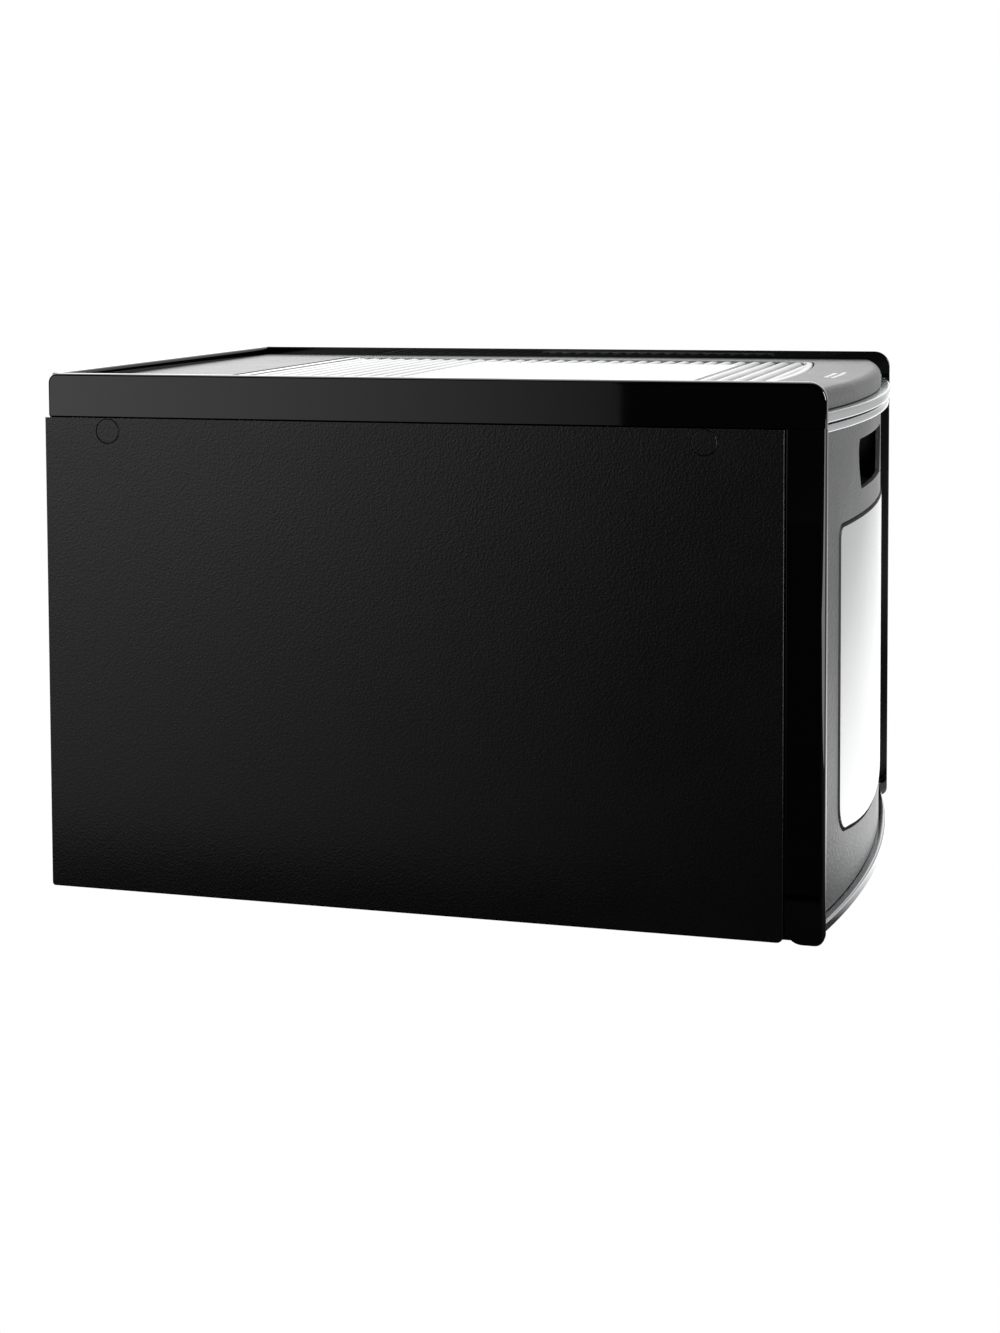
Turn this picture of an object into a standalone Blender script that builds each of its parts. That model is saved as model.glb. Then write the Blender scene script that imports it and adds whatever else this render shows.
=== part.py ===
"""Low trash compactor: a cabinet with a top-loading lid, a bin drawer behind a bowed front, and a ram
that two lead screws push into the bin from behind. Metres, +Z up, front towards -Y, origin on the floor
under the middle of the whole box."""

import math

import bpy
import bmesh
from mathutils import Matrix, Vector

# ---- overall sizes ----
WIDTH = 0.381
DEPTH = 0.5055
HEIGHT = 0.334
FOOT_HEIGHT = 0.006
BOW_RADIUS = 0.940

# ---- clearances ----
GAP = 0.0003          # between pieces that touch
SEAM = 0.0006         # between the rails and the panels under them
FIT = 0.0006          # between parts that are fastened but not pressed together
TURN_GAP = 0.0005     # round a screw or a hub that turns

# ---- casing ----
PANEL_THICK = 0.003
RAIL_HEIGHT = 0.0267
RAIL_THICK = 0.0062
RAIL_TOP_ROUND = 0.0022
RAIL_FRONT_CORNER = 0.011
RAIL_REAR_CORNER = 0.006
RAIL_REAR_SETBACK = 0.002
PILLAR_WIDTH = 0.0065
PILLAR_DEPTH = 0.0231
PILLAR_SETBACK = 0.0143   # pillars' front plane behind the foremost chrome band
PILLAR_GAP = 0.0011       # groove between a pillar and its side panel
PILLAR_FRONT_CORNER = 0.006
PILLAR_REAR_CORNER = 0.010
PILLAR_BEVEL = 0.0035
CAP_RADIUS = 0.00765
CAP_THICK = 0.0012
CAP_BELOW_SEAM = 0.009    # from the seam down to the caps' centres
PANEL_FRONT_CORNER = 0.004
PANEL_REAR_CORNER = 0.002
CAP_FROM_FRONT = 0.0467   # from the side panel's front edge to the front cap's centre
CAP_FROM_REAR = 0.0430
REAR_PANEL_THICK = 0.0025
REAR_PANEL_SETBACK = 0.0035
TRAY_THICK = 0.003
TRAY_TO_BAND = 0.0031     # tray's front edge behind the back of the bottom band
FOOT_RADIUS = 0.012
FOOT_INSET = 0.045

# ---- deck and nose ----
DECK_DROP = 0.006         # deck below the rails' top
DECK_THICK = 0.003
NOSE_SETBACK = 0.0068
NOSE_HEIGHT = 0.0125
NOSE_ROUND = 0.0065
COLLAR_THICK = 0.003
LEDGE = 0.004

# ---- chrome bands ----
UPPER_BAND_HEIGHT = 0.0063
BAND_SPLIT = 0.0012       # between the cabinet's band and the drawer's
DRAWER_BAND_HEIGHT = 0.0049
DRAWER_BAND_SETBACK = 0.0014
BOTTOM_BAND_HEIGHT = 0.0068
BOTTOM_BAND_SETBACK = 0.0017
BOTTOM_BAND_LIFT = 0.001  # above the casing's lower edge
BAND_DEPTH = 0.0080
BAND_END_GAP = 0.0015
BAND_ROUND = 0.0018
BAND_TAPER = 0.014        # length of the slanted ends
BAND_END_DROP = 0.0035

# ---- drawer ----
FRONT_SETBACK = 0.0069
FRONT_THICK = 0.003
FRONT_SIDE_GAP = 0.0035   # drawer front to pillar, holding the trim strip
STRIP_WIDTH = 0.0016
STRIP_DEPTH = 0.004
HANDLE_TOP_FROM_FRONT_TOP = 0.0115
HANDLE_HEIGHT = 0.032
HANDLE_BOTTOM_HALF = 0.057
HANDLE_TOP_HALF = 0.063
HANDLE_BULGE_HALF = 0.073  # control point of each curved side
HANDLE_BULGE_RISE = 0.024
CUP_DEPTH = 0.033
CUP_WALL = 0.0025
CUP_MARGIN = 0.004
WINDOW_HALF = 0.1227
WINDOW_ABOVE_FRONT_BOTTOM = 0.0383
WINDOW_BELOW_HANDLE = 0.0150
WINDOW_TOP_CORNER = 0.009
WINDOW_BOTTOM_CORNER = 0.020
WINDOW_BOTTOM_BOW = 0.694
INLAY_GAP = 0.0025
INLAY_PROUD = 0.0008
INLAY_THICK = 0.0035
BACKING_THICK = 0.002
BACKING_MARGIN = 0.012
BIN_SIDE_SPACE = 0.0175    # from the bin to the side panel, filled by the runners
BIN_BEHIND_CUP = 0.0046
BIN_TO_RAM = 0.002
BIN_BELOW_COLLAR = 0.0195
BIN_WALL = 0.0025
BIN_LIFT = 0.0052          # above the base tray
BRACKET_X = 0.120
BRACKET_THICK = 0.004
BRACKET_BELOW_WINDOW_TOP = 0.0115
RUNNER_RISE = 0.010        # runners above the screws
RUNNER_BAR_HEIGHT = 0.030
RUNNER_BAR_THICK = 0.0112
RUNNER_CHANNEL_HEIGHT = 0.040
RUNNER_CHANNEL_DEPTH = 0.0107
RUNNER_WALL = 0.0016
RUNNER_END_GAP = 0.005

# ---- lid ----
LID_SIDE_BORDER = 0.0343   # deck left between the lid and each rail
LID_REAR_BORDER = 0.0775
LID_FRONT_SETBACK = 0.0540
LID_THICK = 0.0075
LID_CORNER = 0.022
LID_REAR_CORNER = 0.003
SEAT_REAR_CORNER = 0.0005     # nearly square, as the lid's full width swings back into it
LID_GAP = 0.0005
LID_REAR_GAP = 0.0010
LID_REAR_ROUND = 0.004
LID_LIP = 0.0045
LID_REAR_RIM = 0.0100
RIB_PITCH = 0.0103
RIB_GROOVE = 0.0012
RIB_HEIGHT = 0.0040
RIB_BELOW_TOP = 0.0002
PLATE_HALF = 0.100
PLATE_AFTER_RIB = 11      # ribs between the rear rim and the plate
PLATE_RIBS = 18           # ribs that the plate takes the place of
PLATE_THICK = 0.0033
PIN_RADIUS = 0.0016
PIN_LENGTH = 0.020
PIN_IN_LID = 0.012
PIN_HEAD_RADIUS = 0.0022
PIN_HEAD = 0.0015
HINGE_FROM_REAR = 0.0054
HINGE_BELOW_TOP = 0.0055

# ---- ram and drive ----
MECHANISM_LENGTH = 0.15195  # bulkhead to rear panel
BULKHEAD_THICK = 0.003
RAM_THICK = 0.008
RAM_SIDE_GAP = 0.003
RAM_BELOW_BIN_TOP = 0.006
RAM_TO_BULKHEAD = 0.006
SCREW_X = 0.080
SCREW_RADIUS = 0.007
SCREW_END_GAP = 0.00765    # screw to rear panel
SCREW_FLANGE_RADIUS = 0.014
SCREW_FLANGE = 0.0034
PULLEY_RADIUS = 0.022
PULLEY_WIDTH = 0.018
PULLEY_FLANGE = 0.0025
PULLEY_FLANGE_RISE = 0.0025
HUB_RADIUS = 0.012
HUB_LENGTH = 0.0085
MOTOR_PULLEY_RADIUS = 0.011
MOTOR_DROP = 0.050         # motor's axis below the screws'
MOTOR_RADIUS = 0.034
MOTOR_LENGTH = 0.078
SHAFT_RADIUS = 0.004
BELT_THICK = 0.0018
BELT_WIDTH = 0.011
BRIDGE_CLEARANCE = 0.0055
BRIDGE_LEG = 0.006
BRIDGE_THICK = 0.004
BRIDGE_HALF_HEIGHT = 0.030
BRIDGE_BEHIND_PULLEY = 0.0025
MOTOR_BRACKET_HALF = 0.045
MOTOR_BRACKET_THICK = 0.003
MOTOR_BRACKET_FOOT = 0.052
MOTOR_BRACKET_RISE = 0.040
COVER_BELOW_COLLAR = 0.0125
COVER_THICK = 0.003

# ---- controls ----
BUTTON_WIDTH = 0.016
BUTTON_HEIGHT = 0.0044
BUTTON_DEPTH = 0.007
BUTTON_PROUD = 0.0006
BUTTON_GAP = 0.0004
BUTTON_PITCH = 0.024
STOP_FROM_LID_SIDE = 0.014
BUTTON_ABOVE_NOSE_BOTTOM = 0.0032
BOARD_LENGTH = 0.075
BOARD_BEHIND_BUTTON = 0.0038
BOARD_THICK = 0.0016
BOARD_TO_COLLAR = 0.004
INLET_X = -0.120
INLET_Z = 0.050
INLET_HALF = 0.0135
INLET_HALF_HEIGHT = 0.0100
INLET_FLANGE = 0.004
INLET_FLANGE_THICK = 0.0016
INLET_WALL = 0.0020
INLET_DEPTH = 0.020
ROCKER_X = -0.080
ROCKER_HALF = 0.0065
ROCKER_HALF_HEIGHT = 0.0105
ROCKER_DEPTH = 0.008
ROCKER_TILT = 7.0
BEZEL_WALL = 0.002
BEZEL_DEPTH = 0.012
VENT_X = 0.065
VENT_Z = 0.120
VENT_WIDTH = 0.070
VENT_HEIGHT = 0.004
VENT_PITCH = 0.010
VENT_ROWS = 12
VENT_COLUMN_PITCH = 0.085

# ---- places worked out from the sizes ----
FRONT = -DEPTH / 2
REAR = DEPTH / 2
SEAM_Z = HEIGHT - RAIL_HEIGHT - SEAM / 2
PILLAR_FRONT = FRONT + PILLAR_SETBACK
PILLAR_REAR = PILLAR_FRONT + PILLAR_DEPTH
PANEL_FRONT = PILLAR_REAR + PILLAR_GAP
PANEL_INNER = WIDTH / 2 - PANEL_THICK
PILLAR_INNER = WIDTH / 2 - PILLAR_WIDTH
RAIL_INNER = WIDTH / 2 - RAIL_THICK
RAIL_REAR = REAR - RAIL_REAR_SETBACK
REAR_PANEL_Y = REAR - REAR_PANEL_SETBACK
TRAY_TOP = FOOT_HEIGHT + GAP + TRAY_THICK
DECK_TOP = HEIGHT - DECK_DROP
NOSE_FRONT = FRONT + NOSE_SETBACK
NOSE_BOTTOM = DECK_TOP - NOSE_HEIGHT
DECK_REAR = RAIL_REAR - RAIL_THICK - GAP
LID_HALF = RAIL_INNER - LID_SIDE_BORDER
LID_FRONT = FRONT + LID_FRONT_SETBACK
LID_REAR = DECK_REAR - LID_REAR_BORDER
LID_BOTTOM = DECK_TOP - LID_THICK
HINGE_Y = LID_REAR - HINGE_FROM_REAR
HINGE_Z = DECK_TOP - HINGE_BELOW_TOP
UPPER_BAND_TOP = NOSE_BOTTOM - GAP
DRAWER_BAND_TOP = UPPER_BAND_TOP - UPPER_BAND_HEIGHT - BAND_SPLIT
FRONT_TOP = DRAWER_BAND_TOP - DRAWER_BAND_HEIGHT - GAP
BOTTOM_BAND_Z = FOOT_HEIGHT + BOTTOM_BAND_LIFT
FRONT_BOTTOM = BOTTOM_BAND_Z + BOTTOM_BAND_HEIGHT + FIT
FRONT_Y = FRONT + FRONT_SETBACK
FRONT_HALF = PILLAR_INNER - FRONT_SIDE_GAP
HANDLE_TOP = FRONT_TOP - HANDLE_TOP_FROM_FRONT_TOP
HANDLE_BOTTOM = HANDLE_TOP - HANDLE_HEIGHT
WINDOW_BOTTOM = FRONT_BOTTOM + WINDOW_ABOVE_FRONT_BOTTOM
WINDOW_TOP = HANDLE_BOTTOM - WINDOW_BELOW_HANDLE
CUP_FRONT = FRONT_Y + FRONT_THICK + GAP
BAND_HALF = PILLAR_INNER - BAND_END_GAP
BULKHEAD_Y = REAR_PANEL_Y - REAR_PANEL_THICK - MECHANISM_LENGTH
RAM_REAR = BULKHEAD_Y - RAM_TO_BULKHEAD
BIN_HALF = PANEL_INNER - BIN_SIDE_SPACE
BIN_FRONT = CUP_FRONT + CUP_DEPTH + BIN_BEHIND_CUP
BIN_REAR = RAM_REAR - RAM_THICK - BIN_TO_RAM
BIN_BOTTOM = TRAY_TOP + BIN_LIFT
BIN_TOP = NOSE_BOTTOM - BIN_BELOW_COLLAR
RAM_BOTTOM = BIN_BOTTOM + BIN_WALL + RAM_SIDE_GAP
RAM_TOP = BIN_TOP - RAM_BELOW_BIN_TOP
SCREW_Z = (RAM_BOTTOM + RAM_TOP) / 2
SCREW_LENGTH = REAR_PANEL_Y - REAR_PANEL_THICK - SCREW_END_GAP - RAM_REAR - GAP
RUNNER_Z = SCREW_Z + RUNNER_RISE
PULLEY_Y = BULKHEAD_Y + BULKHEAD_THICK + FIT
PULLEY_REAR = PULLEY_Y + PULLEY_WIDTH
BRIDGE_Y = PULLEY_REAR + BRIDGE_BEHIND_PULLEY
MOTOR_BRACKET_Y = BRIDGE_Y + BRIDGE_THICK + FIT
MOTOR_Y = MOTOR_BRACKET_Y + MOTOR_BRACKET_THICK + GAP
MOTOR_Z = SCREW_Z - MOTOR_DROP
BRIDGE_HALF = SCREW_X + PULLEY_RADIUS + PULLEY_FLANGE_RISE + BRIDGE_CLEARANCE + BRIDGE_LEG
COVER_TOP = NOSE_BOTTOM - COVER_BELOW_COLLAR
STOP_X = LID_HALF - STOP_FROM_LID_SIDE
START_X = STOP_X - BUTTON_PITCH

AXES = {
    "X": ((0, 1, 0), (0, 0, 1), (1, 0, 0)),
    "Y": ((1, 0, 0), (0, 0, 1), (0, -1, 0)),
    "Z": ((1, 0, 0), (0, 1, 0), (0, 0, 1)),
}

parts = None
cutters = None


def clear_scene():
    for obj in list(bpy.data.objects):
        bpy.data.objects.remove(obj, do_unlink=True)


def new_collection(name):
    made = bpy.data.collections.new(name)
    bpy.context.scene.collection.children.link(made)
    return made


def finish_material(name, colour, roughness, metallic=0.0):
    made = bpy.data.materials.new(name)
    made.use_nodes = True
    shader = made.node_tree.nodes["Principled BSDF"]
    shader.inputs["Base Color"].default_value = (*colour, 1.0)
    shader.inputs["Roughness"].default_value = roughness
    shader.inputs["Metallic"].default_value = metallic
    return made


def add_object(name, mesh, material):
    """Puts a mesh into the parts, or into the cutters where it has no material."""
    obj = bpy.data.objects.new(name, mesh)
    if material is None:
        cutters.objects.link(obj)
        obj.hide_render = True
        obj.display_type = "WIRE"
    else:
        parts.objects.link(obj)
        mesh.materials.append(material)
    return obj


def box(name, low, high, material=None, bevel=0.0):
    """A block between two corners, with its edges bevelled if asked."""
    mesh = bpy.data.meshes.new(name)
    size = Vector(high) - Vector(low)
    bm = bmesh.new()
    bmesh.ops.create_cube(bm, size=1.0)
    bmesh.ops.scale(bm, vec=size, verts=bm.verts)
    bm.to_mesh(mesh)
    bm.free()
    obj = add_object(name, mesh, material)
    obj.location = (Vector(low) + Vector(high)) / 2
    if bevel:
        add_bevel(obj, bevel)
    return obj


def add_bevel(obj, width, segments=1):
    bevel = obj.modifiers.new("edges", "BEVEL")
    bevel.width = width
    bevel.segments = segments
    bevel.limit_method = "ANGLE"
    bevel.angle_limit = math.radians(40)


def slab(name, outline, axis, low, high, material=None):
    """A flat outline carried along an axis from low to high. The outline is in YZ, XZ or XY."""
    curve = bpy.data.curves.new(name, "CURVE")
    curve.dimensions = "2D"
    curve.fill_mode = "BOTH"
    curve.extrude = (high - low) / 2
    spline = curve.splines.new("POLY")
    spline.points.add(len(outline) - 1)
    for point, (u, v) in zip(spline.points, outline):
        point.co = (u, v, 0.0, 1.0)
    spline.use_cyclic_u = True
    guide = bpy.data.objects.new(name + "_outline", curve)
    bpy.context.scene.collection.objects.link(guide)
    graph = bpy.context.evaluated_depsgraph_get()
    mesh = bpy.data.meshes.new_from_object(guide.evaluated_get(graph))
    bpy.data.objects.remove(guide, do_unlink=True)
    bpy.data.curves.remove(curve)
    mesh.name = name
    turn = Matrix(AXES[axis]).transposed().to_4x4()
    bm = bmesh.new()
    bm.from_mesh(mesh)
    bmesh.ops.remove_doubles(bm, verts=bm.verts, dist=1e-6)
    bmesh.ops.dissolve_limit(bm, angle_limit=0.001, verts=bm.verts, edges=bm.edges)
    bmesh.ops.transform(bm, matrix=turn, verts=bm.verts)
    bmesh.ops.recalc_face_normals(bm, faces=bm.faces)
    bm.to_mesh(mesh)
    bm.free()
    obj = add_object(name, mesh, material)
    side = -1 if axis == "Y" else 1
    obj.location = Vector(AXES[axis][2]) * (low + high) / 2 * side
    return obj


def turned(name, profile, centre, along, material=None, steps=32, closed=False):
    """A profile of (radius, height) points, listed from its top down, turned about the line along."""
    mesh = bpy.data.meshes.new(name)
    points = [(radius, 0.0, height) for radius, height in profile]
    edges = [(i, i + 1) for i in range(len(points) - 1)]
    if closed:
        edges.append((len(points) - 1, 0))
    mesh.from_pydata(points, edges, [])
    obj = add_object(name, mesh, material)
    screw = obj.modifiers.new("turn", "SCREW")
    screw.steps = steps
    screw.render_steps = steps
    screw.use_merge_vertices = True
    screw.merge_threshold = 0.00001
    obj.rotation_euler = Vector(along).to_track_quat("Z", "Y").to_euler()
    obj.location = centre
    return obj


def rod(name, radius, start, end, material=None, steps=24):
    """A plain round bar between two points."""
    start, end = Vector(start), Vector(end)
    length = (end - start).length
    profile = [(0.0, length), (radius, length), (radius, 0.0), (0.0, 0.0)]
    return turned(name, profile, start, end - start, material, steps)


def boolean(obj, other, operation="DIFFERENCE"):
    made = obj.modifiers.new(other.name, "BOOLEAN")
    made.object = other
    made.operation = operation
    made.solver = "EXACT"


def round_edges(obj, pick, radius, segments, along=None):
    """Rounds the mesh edges whose two ends, in world space, both satisfy pick, and whose direction
    satisfies along where that is given."""
    shift = Vector(obj.location)
    bm = bmesh.new()
    bm.from_mesh(obj.data)
    chosen = [e for e in bm.edges if all(pick(v.co + shift) for v in e.verts)]
    if along:
        chosen = [e for e in chosen if along((e.verts[1].co - e.verts[0].co).normalized())]
    bmesh.ops.bevel(bm, geom=chosen, offset=radius, segments=segments, profile=0.5, affect="EDGES")
    bm.to_mesh(obj.data)
    bm.free()


def on_axis(name, place, pieces):
    """An empty on a joint's axis, with the pieces that move about it as its children."""
    pivot = bpy.data.objects.new(name, None)
    pivot.empty_display_size = 0.02
    pivot.location = place
    parts.objects.link(pivot)
    for piece in pieces:
        piece.parent = pivot
        piece.matrix_parent_inverse = Matrix.Translation(-Vector(place))


# ---- outlines ----

def bow_y(y_front, x):
    """How far back the bowed front lies at x, for a bow whose foremost point is at y_front."""
    return y_front + BOW_RADIUS - math.sqrt(BOW_RADIUS ** 2 - x ** 2)


def bow_points(y_front, x_low, x_high, steps):
    xs = [x_low + (x_high - x_low) * i / steps for i in range(steps + 1)]
    return [(x, bow_y(y_front, x)) for x in xs]


def arc(cx, cy, radius, start, end, steps):
    """Points on a circle from one angle to another, in degrees."""
    turns = [math.radians(start + (end - start) * i / steps) for i in range(steps + 1)]
    return [(cx + radius * math.cos(a), cy + radius * math.sin(a)) for a in turns]


def bow_strip(y_front, y_back, x_low, x_high, steps=20):
    """A strip between two parallel bows."""
    return bow_points(y_front, x_low, x_high, steps) + bow_points(y_back, x_low, x_high, steps)[::-1]


def bow_to_flat(y_front, y_back, half, steps=20):
    """A bowed front edge with straight sides and a straight back."""
    return bow_points(y_front, -half, half, steps) + [(half, y_back), (-half, y_back)]


def bowed_panel(front, back, half, bow, front_corner, back_corner, steps=16):
    """An outline with a bowed front edge, straight sides and back, and rounded corners. The front
    corner's circle touches the side at half - corner and touches the bow from inside."""
    centre = front + bow
    x = half - front_corner
    y = centre - math.sqrt((bow - front_corner) ** 2 - x ** 2)
    tilt = math.degrees(math.atan2(y - centre, x))
    reach = bow * math.cos(math.radians(tilt))
    right = arc(x, y, front_corner, tilt, 0, 5)
    back_right = arc(half - back_corner, back - back_corner, back_corner, 0, 90, 4)
    xs = [-reach + 2 * reach * i / steps for i in range(1, steps)]
    bowed = [(v, centre - math.sqrt(bow ** 2 - v ** 2)) for v in xs]
    left = [(-u, v) for u, v in right[::-1]]
    back_left = [(-u, v) for u, v in back_right[::-1]]
    return bowed + right + back_right + back_left + left


def corner_box(y_low, y_high, z_low, z_high, radii, steps=5):
    """A rectangle with its own radius at each corner: front low, rear low, rear high, front high."""
    places = [(y_low, z_low, 180), (y_high, z_low, 270), (y_high, z_high, 0), (y_low, z_high, 90)]
    made = []
    for (y, z, turn), radius in zip(places, radii):
        if not radius:
            made.append((y, z))
            continue
        cy = y + radius if y == y_low else y - radius
        cz = z + radius if z == z_low else z - radius
        made += arc(cy, cz, radius, turn, turn + 90, steps)
    return made


def belt_line(circles, offset, steps=10):
    """The line that wraps round circles (x, z, radius), taken anticlockwise, at a distance from them."""
    made = []
    count = len(circles)
    normals = []
    for i in range(count):
        (x1, z1, r1), (x2, z2, r2) = circles[i], circles[(i + 1) % count]
        length = math.hypot(x2 - x1, z2 - z1)
        normals.append(math.degrees(math.atan2(z2 - z1, x2 - x1) - math.acos((r1 - r2) / length)))
    for i, (x, z, radius) in enumerate(circles):
        start, end = normals[i - 1], normals[i]
        while end < start:
            end += 360
        made += arc(x, z, radius + offset, start, end, steps)
    return made


# ---- casing ----

def make_base(black, rubber):
    front = bow_y(FRONT + BOTTOM_BAND_SETBACK + BAND_DEPTH, BAND_HALF) + TRAY_TO_BAND
    box("base_tray", (-PILLAR_INNER + GAP, front, FOOT_HEIGHT + GAP),
        (PILLAR_INNER - GAP, REAR_PANEL_Y - REAR_PANEL_THICK - GAP, TRAY_TOP), black)
    for side, x in (("left", -1), ("right", 1)):
        for end, y in (("front", -1), ("rear", 1)):
            place = (x * (WIDTH / 2 - FOOT_INSET), y * (DEPTH / 2 - FOOT_INSET), 0)
            profile = [(0, FOOT_HEIGHT), (FOOT_RADIUS, FOOT_HEIGHT), (FOOT_RADIUS * 0.86, 0), (0, 0)]
            turned(f"foot_{end}_{side}", profile, place, (0, 0, 1), rubber, 24)


def make_side(side, sign, black):
    """A side panel with two flush caps over its screws, and the pillar in front of it."""
    low, high = sorted((sign * PANEL_INNER, sign * WIDTH / 2))
    outline = corner_box(PANEL_FRONT, REAR, FOOT_HEIGHT, SEAM_Z - SEAM / 2,
                         (PANEL_FRONT_CORNER, PANEL_REAR_CORNER, 0, 0), 4)
    panel = slab(f"side_panel_{side}", outline, "X", low, high, black)
    out = (sign, 0, 0)
    for end, y in (("front", PANEL_FRONT + CAP_FROM_FRONT), ("rear", REAR - CAP_FROM_REAR)):
        centre = Vector((sign * WIDTH / 2, y, SEAM_Z - CAP_BELOW_SEAM))
        depth = Vector(out) * (CAP_THICK + GAP)
        hole = rod(f"cap_seat_{side}_{end}", CAP_RADIUS + GAP, centre - depth, centre + depth)
        boolean(panel, hole)
        rod(f"cap_{end}_{side}", CAP_RADIUS, centre - Vector(out) * CAP_THICK, centre, black)


def make_pillar(side, sign, gloss):
    low, high = sorted((sign * PILLAR_INNER, sign * WIDTH / 2))
    outline = corner_box(PILLAR_FRONT, PILLAR_REAR, FOOT_HEIGHT, SEAM_Z - SEAM / 2,
                         (PILLAR_FRONT_CORNER, PILLAR_REAR_CORNER, 0, 0))
    pillar = slab(f"front_pillar_{side}", outline, "X", low, high, gloss)
    outer = WIDTH / 2 - 1e-4
    round_edges(pillar, lambda p: abs(p.x) > outer and p.y < PILLAR_FRONT + 1e-4, PILLAR_BEVEL, 2)


def make_rails(gloss):
    """Two long rails with rounded ends, and the rear rail that closes the tray between them."""
    outline = corner_box(PILLAR_FRONT, RAIL_REAR, SEAM_Z + SEAM / 2, HEIGHT,
                         (0, 0, RAIL_REAR_CORNER, RAIL_FRONT_CORNER))
    top = HEIGHT - RAIL_FRONT_CORNER - 1e-4
    for side, sign in (("left", -1), ("right", 1)):
        low, high = sorted((sign * RAIL_INNER, sign * WIDTH / 2))
        rail = slab(f"rail_{side}", outline, "X", low, high, gloss)
        round_edges(rail, lambda p: p.z > top, RAIL_TOP_ROUND, 2, lambda v: abs(v.x) < 1e-4)
    inner = RAIL_INNER - GAP
    rear = box("rail_rear", (-inner, RAIL_REAR - RAIL_THICK, SEAM_Z + SEAM / 2),
               (inner, RAIL_REAR, HEIGHT), gloss)
    round_edges(rear, lambda p: p.z > HEIGHT - 1e-4, RAIL_TOP_ROUND, 2)


def make_rear_panel(black):
    half = PANEL_INNER - GAP
    panel = box("rear_panel", (-half, REAR_PANEL_Y - REAR_PANEL_THICK, FOOT_HEIGHT + GAP),
                (half, REAR_PANEL_Y, SEAM_Z - SEAM / 2), black)
    slot = box("vent_slots", (VENT_X - VENT_WIDTH / 2, REAR_PANEL_Y - 0.01, VENT_Z),
               (VENT_X + VENT_WIDTH / 2, REAR_PANEL_Y + 0.01, VENT_Z + VENT_HEIGHT))
    for name, count, step in (("rows", VENT_ROWS, (0, 0, VENT_PITCH)),
                              ("columns", 2, (-VENT_COLUMN_PITCH, 0, 0))):
        array = slot.modifiers.new(name, "ARRAY")
        array.count = count
        array.use_relative_offset = False
        array.use_constant_offset = True
        array.constant_offset_displace = step
    boolean(panel, slot)
    for name, x, half_x, half_z in (("inlet_hole", INLET_X, INLET_HALF, INLET_HALF_HEIGHT),
                                    ("rocker_hole", ROCKER_X, ROCKER_HALF + BEZEL_WALL + GAP,
                                     ROCKER_HALF_HEIGHT + BEZEL_WALL + GAP)):
        hole = box(name, (x - half_x - GAP, REAR_PANEL_Y - 0.01, INLET_Z - half_z - GAP),
                   (x + half_x + GAP, REAR_PANEL_Y + 0.01, INLET_Z + half_z + GAP))
        boolean(panel, hole)


# ---- deck, nose and bands ----

def lid_outline(grow, rear_grow, rear_corner):
    """The lid's outline, grown by a clearance."""
    return bowed_panel(LID_FRONT - grow, LID_REAR + rear_grow, LID_HALF + grow, BOW_RADIUS,
                       LID_CORNER + grow, rear_corner, 16)


def make_deck(charcoal):
    """The recessed top with its rounded nose, and the collar and ledge that the lid drops into. The
    ledge stops short of the hinge, where the lid's rear edge swings down as it opens."""
    half = RAIL_INNER - GAP
    deck = slab("top_deck", bow_to_flat(NOSE_FRONT, DECK_REAR, half), "Z", NOSE_BOTTOM, DECK_TOP, charcoal)

    def nose_edge(p):
        return p.z > DECK_TOP - 1e-4 and p.y < bow_y(NOSE_FRONT, p.x) + 1e-4

    round_edges(deck, nose_edge, NOSE_ROUND, 4)
    below = NOSE_BOTTOM - 0.002
    under = DECK_TOP - DECK_THICK
    collar = LID_HALF + LID_GAP + COLLAR_THICK
    collar_rear = LID_REAR + LID_REAR_GAP + COLLAR_THICK
    collar_front = LID_FRONT - LID_GAP - COLLAR_THICK
    wall = half - COLLAR_THICK
    seat = slab("lid_seat", lid_outline(LID_GAP, LID_REAR_GAP, SEAT_REAR_CORNER), "Z",
                LID_BOTTOM - GAP, DECK_TOP + 0.002)
    inset = bowed_panel(LID_FRONT + LEDGE, LID_REAR + LID_REAR_GAP - GAP, LID_HALF - LEDGE, BOW_RADIUS,
                        LID_CORNER - LEDGE, LID_REAR_CORNER, 16)
    mouth = slab("lid_mouth", inset, "Z", below, LID_BOTTOM + 0.001)
    nose_hollow = slab("nose_hollow", bow_strip(NOSE_FRONT + DECK_THICK, collar_front, -LID_HALF, LID_HALF),
                       "Z", below, under)
    rear_hollow = box("rear_hollow", (-wall, collar_rear, below), (wall, DECK_REAR - DECK_THICK, under))
    well_half = LID_HALF + LID_GAP / 2
    hinge_well = box("hinge_well", (-well_half, HINGE_Y - HINGE_FROM_REAR, below),
                     (well_half, LID_REAR + LID_REAR_GAP - GAP / 2, LID_BOTTOM + 0.001))
    for cutter in (seat, mouth, hinge_well, nose_hollow, rear_hollow):
        boolean(deck, cutter)
    for side, sign in (("left", -1), ("right", 1)):
        low, high = sorted((sign * collar, sign * wall))
        hollow = box(f"side_hollow_{side}", (low, collar_front + 0.02, below),
                     (high, collar_rear - 0.004, under))
        bore = rod(f"pin_bore_{side}", PIN_RADIUS + GAP, (sign * (LID_HALF - 0.001), HINGE_Y, HINGE_Z),
                   (sign * (collar + 0.001), HINGE_Y, HINGE_Z), steps=16)
        boolean(deck, hollow)
        boolean(deck, bore)
    for name, x in (("start_hole", START_X), ("stop_hole", STOP_X)):
        low, high = button_box(x, BUTTON_GAP)
        boolean(deck, box(name, low, high))
    return deck


def button_box(x, grow):
    """The block that a button fills in the nose, grown by a clearance."""
    z = NOSE_BOTTOM + BUTTON_ABOVE_NOSE_BOTTOM
    half, tall = BUTTON_WIDTH / 2 + grow, BUTTON_HEIGHT / 2 + grow
    y = bow_y(NOSE_FRONT, x)
    return (x - half, y - 0.004, z - tall), (x + half, y + BUTTON_DEPTH, z + tall)


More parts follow.
